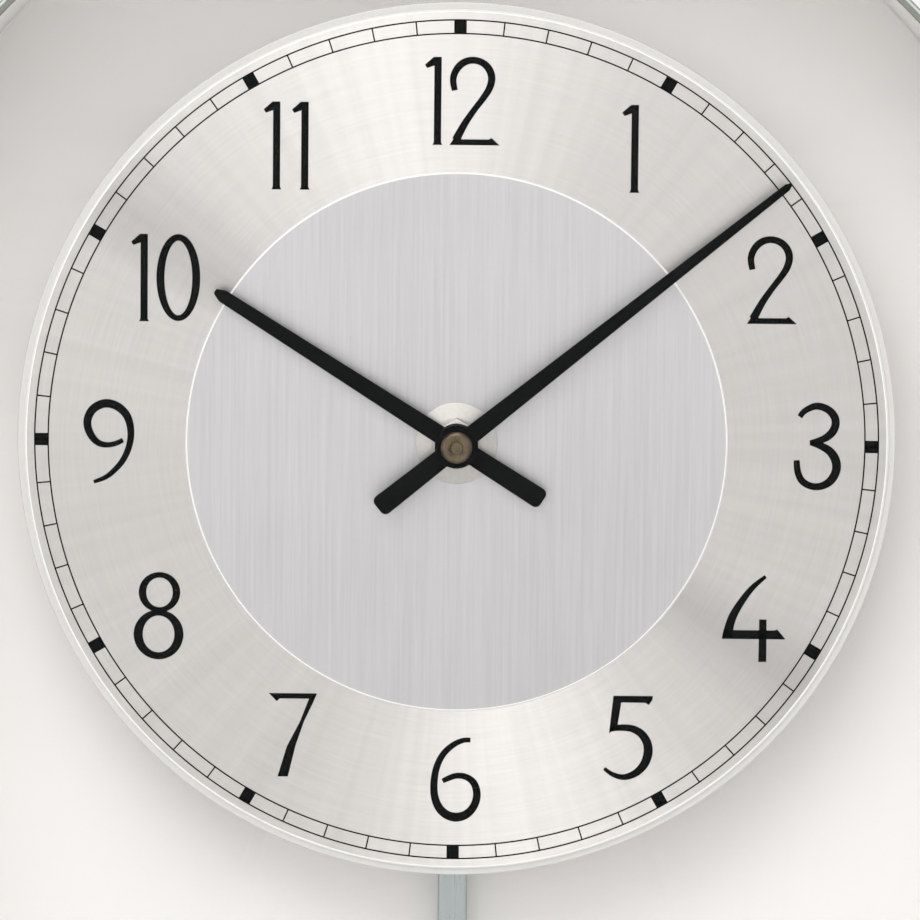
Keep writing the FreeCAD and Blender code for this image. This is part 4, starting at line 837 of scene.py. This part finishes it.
def write(bm, text, x, z, depth):
    """Writes a number with its middle at a place."""
    gap = pair_gap.get(text, 0.0)
    total = sum(figures[figure][0] for figure in text) + gap * (len(text) - 1)
    left = x / mm - total / 2
    for figure in text:
        width, parts = figures[figure]
        place = facing(left * mm, z - figure_height / 2 * mm, depth)
        for kind, points in parts:
            if kind == "b":
                bar(bm, place, points)
            elif kind == "s":
                pen_stroke(bm, place, points)
            else:
                pen_stroke(bm, place, loop(*points), closed=True)
        left += width + gap


numerals = bmesh.new()
for hour, (x, z) in hour_places.items():
    write(numerals, str(hour), x * mm, z * mm, dial_far)
hours = settle_shape("hour_numerals", numerals, [dial_ink], "case")

# %% [markdown]
# ## Things that repeat round a circle
# The minute track has sixty ticks and twelve blocks, and the rating nut and the knob have ribs. One
# Geometry Nodes tree makes them all. Two helpers start and end such a tree: the first gives it its
# named inputs, the second turns its instances into real geometry and sets their finish. A third
# runs a tree on a starting mesh and takes the result as a plain mesh.

# %% Trees and their inputs
def group(name, **inputs):
    """A Geometry Nodes tree with named inputs, and the sockets that give them."""
    tree = bpy.data.node_groups.new(name, "GeometryNodeTree")
    for label, kind in inputs.items():
        tree.interface.new_socket(label.replace("_", " "), in_out="INPUT", socket_type="NodeSocket" + kind)
    tree.interface.new_socket("Geometry", in_out="OUTPUT", socket_type="NodeSocketGeometry")
    return tree, wired(tree, "NodeGroupInput").outputs


def finished(tree, geometry, finish):
    """Ends a tree: its instances become real geometry, with their finish."""
    real = wired(tree, "GeometryNodeRealizeInstances", {0: geometry}).outputs[0]
    painted = wired(tree, "GeometryNodeSetMaterial", {"Geometry": real, "Material": finish}).outputs[0]
    wired(tree, "NodeGroupOutput", {0: painted})
    return tree


def grown(tree, start, **inputs):
    """The plain mesh that a Geometry Nodes tree makes from a starting mesh."""
    holder = bpy.data.objects.new("holder", start)
    bpy.context.scene.collection.objects.link(holder)
    modifier = holder.modifiers.new("nodes", "NODES")
    modifier.node_group = tree
    for item in tree.interface.items_tree:
        label = item.name.replace(" ", "_")
        if item.in_out == "INPUT" and label in inputs:
            modifier[item.identifier] = inputs[label]
    mesh = bpy.data.meshes.new_from_object(holder.evaluated_get(bpy.context.evaluated_depsgraph_get()))
    bpy.data.objects.remove(holder)
    return mesh


# %% [markdown]
# This tree puts a small block on each point of a circle and turns it to face outwards. Its inputs
# are the count, the radius, the size of a block and a finish. Here the blocks always join a larger
# piece, which brings its own finish, so that last input stays empty.

# %% Blocks round a circle
def circle_tree():
    """Blocks on a circle round local Z."""
    tree, given = group("blocks_round_a_circle", Count="Int", Radius="Float", Width="Float",
                        Length="Float", Height="Float", Finish="Material")
    circle = wired(tree, "GeometryNodeMeshCircle", {"Vertices": given["Count"], "Radius": given["Radius"]})
    size = add(tree, "CombineXYZ", {"X": given["Width"], "Y": given["Length"], "Z": given["Height"]})
    block = wired(tree, "GeometryNodeMeshCube", {"Size": size.outputs[0]})
    place = wired(tree, "GeometryNodeInputPosition").outputs[0]
    outward = wired(tree, "FunctionNodeAlignRotationToVector", {"Vector": place}, axis="Y", pivot_axis="Z")
    put = wired(tree, "GeometryNodeInstanceOnPoints",
                {"Points": circle.outputs["Mesh"], "Instance": block.outputs["Mesh"],
                 "Rotation": outward.outputs[0]})
    return finished(tree, put.outputs[0], given["Finish"])


circle_of_blocks = circle_tree()


def blocks(bm, count, radius, width, length, height, place):
    """Adds a circle of blocks to a bmesh, in the given place."""
    mesh = grown(circle_of_blocks, bpy.data.meshes.new("empty"), Count=count, Radius=radius, Width=width,
                 Length=length, Height=height)
    mesh.transform(place)
    bm.from_mesh(mesh)
    bpy.data.meshes.remove(mesh)


# %% [markdown]
# The track is two hair lines with a tick for every minute between them and a square block at
# each hour.

# %% Minute track
track_outer, track_inner = 105.1 * mm, 101.75 * mm
line_width, tick_width, block_side = 0.36 * mm, 0.36 * mm, 3.1 * mm
minute_count, hour_count = 60, 12
track_middle = (track_outer + track_inner) / 2
track = bmesh.new()
for radius in (track_outer, track_inner):
    turn(track, [(radius - line_width / 2, ink_root), (radius + line_width / 2, ink_root),
                 (radius + line_width / 2, ink_top), (radius - line_width / 2, ink_top)],
         facing(depth=dial_far), round_steps, closed=True)
ink_thick, ink_place = ink_top - ink_root, facing(depth=dial_far + (ink_top + ink_root) / 2)
blocks(track, minute_count, track_middle, tick_width, track_outer - track_inner, ink_thick, ink_place)
blocks(track, hour_count, track_middle, block_side, block_side, ink_thick, ink_place)
minutes = settle_shape("minute_track", track, [dial_ink], "case")

# %% [markdown]
# ## The hub and the hands
# A pale plated washer and a slim hexagon nut clamp the movement to the dial. The hands are
# stamped from sheet, sprayed matte black, and riveted to turned bosses. A small brass nut with a
# dimple in its face closes the stack.

# %% Hub
washer_near, washer_far = depths("fixing_washer")
washer_radius = spread("fixing_washer")
washer_flat, washer_slope, washer_ease = washer_radius * 0.62, 0.5 * mm, 0.2 * mm
washer = bmesh.new()
turn(washer, eased([(bore, washer_near), (washer_radius, washer_near),
                    (washer_radius, washer_far - washer_slope), (washer_flat, washer_far),
                    (bore, washer_far)], washer_ease, closed=True), facing(), segments=128, closed=True)
settle_shape("hub_washer", washer, [pale_plating], "case", ["fixing_washer"], sharp=40)

nut_corner = spread("fixing_nut") / math.cos(math.radians(30))
hexagon = [(nut_corner * math.sin(math.radians(60 * n)), nut_corner * math.cos(math.radians(60 * n)))
           for n in range(6)]
hole_points, nut_ease = 60, 0.3 * mm
hole = arc(bore, 0, 360 - 360 / hole_points, hole_points - 1)
settle("hub_nut", sheet([hexagon, hole], *depths("fixing_nut"), nut_ease), [pale_plating],
       "case", ["fixing_nut"], sharp=20)

brass_near, brass_far = depths("hand_nut")
brass_radius = spread("hand_nut")
brass_slope, brass_flat = 0.4 * mm, brass_radius * 0.86
dimple_rim, dimple_floor, dimple_depth = brass_radius * 0.42, brass_radius * 0.38, 0.35 * mm
turned_piece("hand_nut_turned", "hand_nut",
             [(0, brass_near), (brass_radius, brass_near), (brass_radius, brass_far - brass_slope),
              (brass_flat, brass_far), (dimple_rim, brass_far), (dimple_floor, brass_far - dimple_depth),
              (0, brass_far - dimple_depth)], brass_hub, ease=0.25 * mm)

# %% [markdown]
# Each hand is a straight bar that tapers from a rounded tail to a blunt tip. It is drawn upright
# at its own length and then turned to the angle that the frame's hand has.

# %% Hands
bar_thick, bar_lift, bar_ease = 0.6 * mm, 0.6 * mm, 0.12 * mm
tail_corner, tail_steps = 1.5 * mm, 6
blunt_share = 0.18
boss_radius, boss_ease = 5.4 * mm, 0.3 * mm


def dressed_hand(name, node, root_width, tip_width, tail, point):
    """A tapered bar with eased edges on a chamfered boss."""
    angle, reach = pointing(node)
    near, far = depths(node)
    centre_x, centre_z = tail_corner - root_width / 2, tail_corner - tail
    shoulder, blunt = reach - point, tip_width * blunt_share
    outline = arc(tail_corner, 270, 180, tail_steps, centre_x, centre_z)
    outline += arc(tail_corner, 180, 90, tail_steps, -centre_x, centre_z)
    outline += [(tip_width / 2, shoulder), (blunt, reach), (-blunt, reach), (-tip_width / 2, shoulder)]
    blade = sheet([outline], near + bar_lift, near + bar_lift + bar_thick, bar_ease)
    blade.transform(Matrix.Rotation(angle, 4, "Y"))
    bm = bmesh.new()
    bm.from_mesh(blade)
    turn(bm, eased(disc_profile(boss_radius, near, far), boss_ease), facing())
    return settle_shape(name, bm, [hand_paint], body_of[node], [node], sharp=35)


dressed_hand("hour_hand_blade", "hour_hand", root_width=5.1 * mm, tip_width=3.2 * mm, tail=25.5 * mm,
             point=2.2 * mm)
dressed_hand("minute_hand_blade", "minute_hand", root_width=5.3 * mm, tip_width=1.8 * mm, tail=24.8 * mm,
             point=1.2 * mm)

# %% [markdown]
# ## The pendulum
# The bob is a spun aluminium disc with a raised rim, backed by a heavy weight. Its face is
# brushed in circles like the dial and its rim is polished. The knurled nut below it sets the
# rate: the ribs are blocks round a circle again.

# %% Bob and rating nut
bob_near, bob_far = depths("bob_disc")
bob_radius, bob_place = spread("bob_disc"), middle("bob_disc")
rim_width, rim_slope, rim_drop, rim_chamfer = 5.0 * mm, 0.6 * mm, 0.8 * mm, 0.7 * mm
bob_flats = 8
inner = bob_radius - rim_width
bob_profile = [(0, bob_near), (bob_radius, bob_near), (bob_radius, bob_far - rim_chamfer),
               (bob_radius - rim_chamfer, bob_far), (inner + rim_slope, bob_far), (inner, bob_far - rim_drop)]
bob_profile += [(inner * (1 - step / bob_flats), bob_far - rim_drop) for step in range(1, bob_flats + 1)]
bob = bmesh.new()
turn(bob, bob_profile, facing(bob_place.x, bob_place.z), segments=240,
     finish=[0, 1, 1, 1, 1] + [0] * bob_flats)
settle_shape("bob_face", bob, [bob_brushed, polished_edge], "pendulum", ["bob_disc"], sharp=25)

turned_piece("bob_back", "bob_weight", disc_profile(spread("bob_weight"), *depths("bob_weight")),
             weight_grey, ease=1.5 * mm, segments=160)

nut_low, nut_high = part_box("rating_nut")
nut_place = Matrix.Translation((nut_low + nut_high) / 2)
nut_radius, nut_half = (nut_high.x - nut_low.x) / 2, (nut_high.z - nut_low.z) / 2
core_radius, rib_count = nut_radius * 0.9, 20
rib_width, rib_length, rib_height = nut_radius * 0.11, nut_radius * 0.19, nut_half * 1.6
rating = bmesh.new()
turn(rating, eased(disc_profile(core_radius, -nut_half, nut_half), 0.3 * mm), nut_place, segments=60)
blocks(rating, rib_count, core_radius, rib_width, rib_length, rib_height, nut_place)
settle_shape("rating_nut_knurled", rating, [brass_turned], "pendulum", ["rating_nut"])

# %% [markdown]
# ## Behind the dial
# The back of the clock is looked at too: a hand reaches in there to set the time and to change
# the cell. The setting knob is ribbed plastic, and its ribs are blocks round a circle once more.

# %% Setting knob
set_near, set_far = depths("setting_knob")
set_radius = spread("setting_knob")
set_core, grip_count = set_radius * 0.93, 18
grip_width, grip_length, grip_height = set_radius * 0.1, set_radius * 0.14, (set_far - set_near) * 0.72
setting = bmesh.new()
turn(setting, eased(disc_profile(set_core, set_near, set_far), 0.4 * mm), facing(), segments=72)
blocks(setting, grip_count, set_core, grip_width, grip_length, grip_height,
       facing(depth=(set_near + set_far) / 2))
settle_shape("setting_knob_ribbed", setting, [knob_plastic], body_of["setting_knob"], ["setting_knob"])

# %% [markdown]
# The cell is a can with a crimped foot and a bright nub. A printed wrap covers its side, and both
# ends stay bare, so the bands of its profile carry two finishes. It lies along X.

# %% Cell
cell_low, cell_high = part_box("battery")
cell_radius, cell_length = (cell_high.z - cell_low.z) / 2, cell_high.x - cell_low.x
cell_place = Matrix.Translation((cell_low.x, middle("battery").y, middle("battery").z))
cell_place = cell_place @ Matrix.Rotation(math.radians(90), 4, "Y")
cell_top = cell_length - 1.2 * mm
foot_flat, foot_turn, top_turn, top_flat = (cell_radius * share for share in (0.8, 0.86, 0.9, 0.8))
nub_radius, nub_flat, nub_round = cell_radius * 0.36, cell_radius * 0.3, 0.3 * mm
foot_rise, wrap_start, wrap_drop, rim_fall = 0.3 * mm, 0.7 * mm, 0.9 * mm, 0.2 * mm
cell_profile = [(0, 0), (foot_flat, 0), (foot_turn, foot_rise), (cell_radius, wrap_start),
                (cell_radius, cell_top - wrap_drop), (top_turn, cell_top - rim_fall), (top_flat, cell_top),
                (nub_radius, cell_top), (nub_radius, cell_length - nub_round), (nub_flat, cell_length),
                (0, cell_length)]
cell = bmesh.new()
turn(cell, cell_profile, cell_place, finish=[1, 1, 0, 0, 0, 0, 1, 1, 1, 1])
settle_shape("cell_can", cell, [cell_wrap, bright_can], "case", ["battery"], sharp=35)

# %% [markdown]
# Posts, bumpers and screws are several solids in one part. Walking from point to point along the
# edges sorts such a part into its solids, and the box of each tells where a new one goes.

# %% The solids of a part
def islands(node):
    """The separate solids of a part, each as a list of points."""
    bm = bmesh.new()
    bm.from_mesh(frame["nodes"][node].data)
    bmesh.ops.remove_doubles(bm, verts=bm.verts, dist=solid_weld)
    seen, found = set(), []
    for start in bm.verts:
        if start in seen:
            continue
        seen.add(start)
        waiting, solid_points = [start], []
        while waiting:
            vertex = waiting.pop()
            solid_points.append(vertex.co.copy())
            for edge in vertex.link_edges:
                other = edge.other_vert(vertex)
                if other not in seen:
                    seen.add(other)
                    waiting.append(other)
        found.append(solid_points)
    bm.free()
    return found


def corners_of(points):
    """Lowest and highest corner of some points."""
    low = Vector([min(point[axis] for point in points) for axis in range(3)])
    high = Vector([max(point[axis] for point in points) for axis in range(3)])
    return low, high


# %% [markdown]
# The posts hold the dial off the panel. A bumper is a rubber button that ends at the panel's back.

# %% Posts and bumpers
def turned_group(name, node, finish, ease, segments, end=None):
    """One round piece for each solid of a part, up to its own front or to a given depth."""
    bm = bmesh.new()
    for points in islands(node):
        low, high = corners_of(points)
        profile = disc_profile((high.x - low.x) / 2, -high.y, -low.y if end is None else end)
        turn(bm, eased(profile, ease), facing((low.x + high.x) / 2, (low.z + high.z) / 2), segments)
    return settle_shape(name, bm, [finish], "case", [node], sharp=40)


turned_group("dial_posts_turned", "dial_posts", turned_steel, ease=0.3 * mm, segments=48)
turned_group("bumper_buttons", "wall_bumpers", rubber, ease=1.2 * mm, segments=64,
             end=depths("back_panel")[0])

# %% [markdown]
# ## Screws
# Screws repeat all over the case, so Geometry Nodes place them too. First each screw of the
# frame is measured: its axis is the side of its box that differs from the other two, and its head
# is at the wider end. Those places become points that carry a direction and a length. The tree
# then puts a pan head with a cross recess and a shank of the right length on every point.

# %% Places of the screws
def screw_points(node):
    """A mesh with one point for each screw, how far and which way it goes, and the head's radius."""
    heads, aims, lengths, head_radius = [], [], [], 0.0
    for points in islands(node):
        low, high = corners_of(points)
        size, centre = high - low, (low + high) / 2
        small, between, large = sorted(range(3), key=lambda side: size[side])
        axis = small if size[between] - size[small] > size[large] - size[between] else large
        reach = {True: 0.0, False: 0.0}
        for point in points:
            end, off = point[axis] > centre[axis], point - centre
            off[axis] = 0
            reach[end] = max(reach[end], off.length)
        aim, top = Vector((0, 0, 0)), centre.copy()
        aim[axis] = 1 if reach[True] > reach[False] else -1
        top[axis] = (high if reach[True] > reach[False] else low)[axis]
        heads.append(top)
        aims.append(aim)
        lengths.append(size[axis])
        head_radius = max(reach.values())
    mesh = bpy.data.meshes.new("screw_points")
    mesh.from_pydata(heads, [], [])
    mesh.attributes.new("aim", "FLOAT_VECTOR", "POINT")
    mesh.attributes.new("long", "FLOAT", "POINT")
    mesh.attributes["aim"].data.foreach_set("vector", [number for aim in aims for number in aim])
    mesh.attributes["long"].data.foreach_set("value", lengths)
    return mesh, head_radius


# %% [markdown]
# The head is turned with its top at height zero, and the cross is cut from it by a Boolean. The
# cut is made a thousand times too large, where the solver works best, and then scaled down. One
# bar of the cross is a hair deeper than the other, so that no two faces of the cutter coincide.

# %% Head with a cross recess
edge_drop, flat_share, edge_round = 0.45, 0.72, 0.25
arm_share, slit_share, deep_share = 0.62, 0.13, 0.55
hair = 0.09


def screw_head(radius, height):
    """A pan head, its top at the origin, looking along +Z."""
    bm = bmesh.new()
    profile = [(0, -height), (radius, -height), (radius, -height * edge_drop), (radius * flat_share, 0),
               (0, 0)]
    turn(bm, eased(profile, radius * edge_round), Matrix.Scale(1 / mm, 4), segments=48)
    bmesh.ops.recalc_face_normals(bm, faces=bm.faces)
    cutter = bmesh.new()
    arm, slit = 2 * radius * arm_share / mm, 2 * radius * slit_share / mm
    deep = 2 * height * deep_share / mm
    for turned, deeper in ((0, 0), (90, hair)):
        made = bmesh.ops.create_cube(cutter, size=1.0)["verts"]
        bmesh.ops.scale(cutter, vec=(arm, slit, deep + deeper), verts=made)
        bmesh.ops.rotate(cutter, matrix=Matrix.Rotation(math.radians(turned), 3, "Z"), verts=made)
    items = []
    for name, shape in (("head", bm), ("cross", cutter)):
        mesh = bpy.data.meshes.new(name)
        shape.to_mesh(mesh)
        shape.free()
        items.append(bpy.data.objects.new(name, mesh))
        bpy.context.scene.collection.objects.link(items[-1])
    body, tool = items
    cut = body.modifiers.new("cut", "BOOLEAN")
    cut.object, cut.operation, cut.solver = tool, "DIFFERENCE", "EXACT"
    cut.use_self = True
    result = bpy.data.meshes.new_from_object(body.evaluated_get(bpy.context.evaluated_depsgraph_get()))
    for item in items:
        bpy.data.objects.remove(item)
    result.transform(Matrix.Scale(mm, 4))
    return result


# %% [markdown]
# The tree reads the direction and the length from the points. It puts a head on every point, and
# a shank below it: a cylinder of length one, whose top is moved down by the head's height and
# which is stretched to what is left of the screw.

# %% The tree that places screws
def screw_tree():
    """A head on every point, turned along its aim, and a shank as long as the point says."""
    tree, given = group("screws", Points="Geometry", Head="Object", Shank_Radius="Float",
                        Head_Height="Float", Finish="Material")
    aim, long = (wired(tree, "GeometryNodeInputNamedAttribute", {"Name": name}, data_type=kind).outputs[0]
                 for name, kind in (("aim", "FLOAT_VECTOR"), ("long", "FLOAT")))
    turned = wired(tree, "FunctionNodeAlignRotationToVector", {"Vector": aim}, axis="Z").outputs[0]
    head = wired(tree, "GeometryNodeObjectInfo", {"Object": given["Head"]}).outputs["Geometry"]
    heads = wired(tree, "GeometryNodeInstanceOnPoints",
                  {"Points": given["Points"], "Instance": head, "Rotation": turned})
    shank = wired(tree, "GeometryNodeMeshCylinder",
                  {"Vertices": 32, "Depth": 1.0, "Radius": given["Shank Radius"]})
    drop = wired(tree, "GeometryNodeTransform",
                 {"Geometry": shank.outputs["Mesh"], "Translation": (0, 0, -0.5)}).outputs[0]
    left = math_node(tree, "SUBTRACT", long, given["Head Height"])
    size = add(tree, "CombineXYZ", {"X": 1.0, "Y": 1.0, "Z": left}).outputs[0]
    back = math_node(tree, "MULTIPLY", given["Head Height"], -1.0)
    below = add(tree, "VectorMath", {0: aim, "Scale": back}, operation="SCALE").outputs[0]
    shift = wired(tree, "GeometryNodeSetPosition", {"Geometry": given["Points"], "Offset": below}).outputs[0]
    shanks = wired(tree, "GeometryNodeInstanceOnPoints",
                   {"Points": shift, "Instance": drop, "Rotation": turned, "Scale": size})
    join = wired(tree, "GeometryNodeJoinGeometry")
    for part in (heads, shanks):
        tree.links.new(part.outputs[0], join.inputs[0])
    return finished(tree, join.outputs[0], given["Finish"])


# %% [markdown]
# Now every part that is a set of screws gets its points, a head of its own size and a run of the
# tree. The small screws of the movement and the hinges have flatter heads than the others.

# %% Place the screws
screws_on_points = screw_tree()
shank_share = 0.53
tall_head, flat_head = 1.8 * mm, 1.2 * mm
screw_rows = {tall_head: ["corner_bracket_screws", "panel_bracket_screws", "hanger_screws", "post_screws",
                          "catch_screw"],
              flat_head: ["movement_screws", "hinge_leaf_screws"]}
for head_height, nodes in screw_rows.items():
    for node in nodes:
        points, head_radius = screw_points(node)
        head = bpy.data.objects.new("head", screw_head(head_radius, head_height))
        bpy.context.scene.collection.objects.link(head)
        mesh = grown(screws_on_points, points, Head=head, Shank_Radius=head_radius * shank_share,
                     Head_Height=head_height, Finish=zinc)
        bpy.data.objects.remove(head)
        mesh.materials.clear()
        settle(node + "_crossed", mesh, [zinc], body_of[node], [node])

# %% [markdown]
# ## Finishes for the parts that keep their own mesh
# What is left of the frame has the right shape already: brackets, hanger, housing, wheels and
# the small electric parts. Those parts are not moved or changed. They only get a finish.

# %% Dress the remaining parts
dress = {
    zinc: ["corner_brackets", "panel_brackets", "hanger_plate", "hinge_pins", "carrier_screws", "knob_screw",
           "pivot_pin", "pivot_clip", "battery_contacts"],
    nickel_satin: ["case_hinge_leaves", "door_hinge_leaves"],
    housing_black: ["movement_front_cover", "movement_rear_cover", "catch_bracket"],
    rubber: ["mounting_gasket"],
    board_mask: ["circuit_board"],
    bright_can: ["quartz_crystal"],
    copper_wire: ["motor_coil", "drive_coil"],
    soft_iron: ["motor_stator"],
    ferrite: ["drive_magnet"],
    nylon: ["rotor", "intermediate_wheel", "third_wheel", "centre_wheel", "reversing_wheel", "hour_wheel",
            "pendulum_lever"],
    turned_steel: ["minute_arbor", "clutch_spring"],
    rod_brushed: ["pendulum_rod"],
}
for finish, names in dress.items():
    for name in names:
        part = frame["nodes"][name]
        if not part.material_slots:
            part.data.materials.append(finish)
        for holder in part.material_slots:
            holder.material = finish
print("dressed parts:", sum(len(names) for names in dress.values()))

# %% [markdown]
# ## Studio
# The clock stands over a plain pale floor. A soft key lamp hangs in front, above and a little to
# the left, where a window would be, so the arch darkens the top of the panel and the dial throws
# a soft shadow round itself. A larger lamp further out fills that shadow, a weak one lights the
# back, and a pale surround does the rest. The floor lies just below the foot of the case.

# %% Floor and surround
floor_radius, floor_gap = 14.0, 0.5 * mm
floor = bmesh.new()
bmesh.ops.create_circle(floor, cap_ends=True, segments=96, radius=floor_radius)
floor_mesh = bpy.data.meshes.new("studio_floor")
floor.to_mesh(floor_mesh)
floor.free()
floor_mesh.transform(Matrix.Translation((0, 0, case_foot - floor_gap)))
floor_mesh.materials.append(grained("floor_pale", (0.80, 0.80, 0.79), 0.0, 0.6, grain=40.0,
                                    colour_spread=0.01, height=0.0))
studio_floor = bpy.data.objects.new("studio_floor", floor_mesh)
bpy.context.scene.collection.objects.link(studio_floor)

world = bpy.data.worlds.new("surround")
world.use_nodes = True
surround = world.node_tree.nodes["Background"].inputs
surround["Color"].default_value = (1.0, 0.993, 0.99, 1.0)
surround["Strength"].default_value = 0.92
bpy.context.scene.world = world


# %% [markdown]
# All three lamps are large rectangles a few metres away, because a small or a near one would leave
# a hard pool of light on the floor.

# %% Lamps
def lamp(name, place, aim, width, height, power, colour=(1, 1, 1)):
    """A soft rectangular lamp that looks at a point; sizes in metres, power in watts."""
    light = bpy.data.lights.new(name, "AREA")
    light.shape = "RECTANGLE"
    light.size, light.size_y = width, height
    light.energy = power
    light.color = colour
    holder = bpy.data.objects.new(name, light)
    holder.location = place
    holder.rotation_euler = (Vector(aim) - Vector(place)).to_track_quat("-Z", "Y").to_euler()
    holder.visible_camera = False
    bpy.context.scene.collection.objects.link(holder)
    print(f"{name} lamp: {power} W")


dial_middle, case_middle = (0, -dial_far, 0), (0, 0, -0.2)
lamp("key", (-0.9, -3.75, 3.15), dial_middle, width=2.7, height=2.1, power=72.0, colour=(1.0, 0.99, 0.98))
lamp("fill", (-0.9, -6.0, 1.9), case_middle, width=4.4, height=4.4, power=72.0)
lamp("back", (1.8, 4.2, 2.0), case_middle, width=3.4, height=3.4, power=22.0)

# %% [markdown]
# ## Camera
# The camera is far away with a long lens, so the dial stays round. It looks slightly down on the
# clock, which sets the hub, as it stands out from the dial, a little lower than the dial's middle,
# and it is a touch out of level. Its lens follows from the width that it shows at the dial.

# %% Camera
view_width = 229.3 * mm
distance = 1.3
tilt = math.radians(6.5)
roll = math.radians(0.55)
target = Vector((0.9 * mm, -dial_far, -4.25 * mm))
camera_data = bpy.data.cameras.new("camera")
camera_data.sensor_width = 36.0
camera_data.lens = camera_data.sensor_width * distance / view_width
camera_data.clip_end = 60.0
camera = bpy.data.objects.new("camera", camera_data)
offset = Vector((0, -math.cos(tilt), math.sin(tilt))) * distance
look = (-offset).to_track_quat("-Z", "Y").to_matrix().to_4x4()
camera.matrix_world = Matrix.Translation(target + offset) @ look @ Matrix.Rotation(roll, 4, "Z")
bpy.context.scene.collection.objects.link(camera)
bpy.context.scene.camera = camera
bpy.context.scene.view_settings.view_transform = "Standard"
print("lens in mm:", round(camera_data.lens, 1))
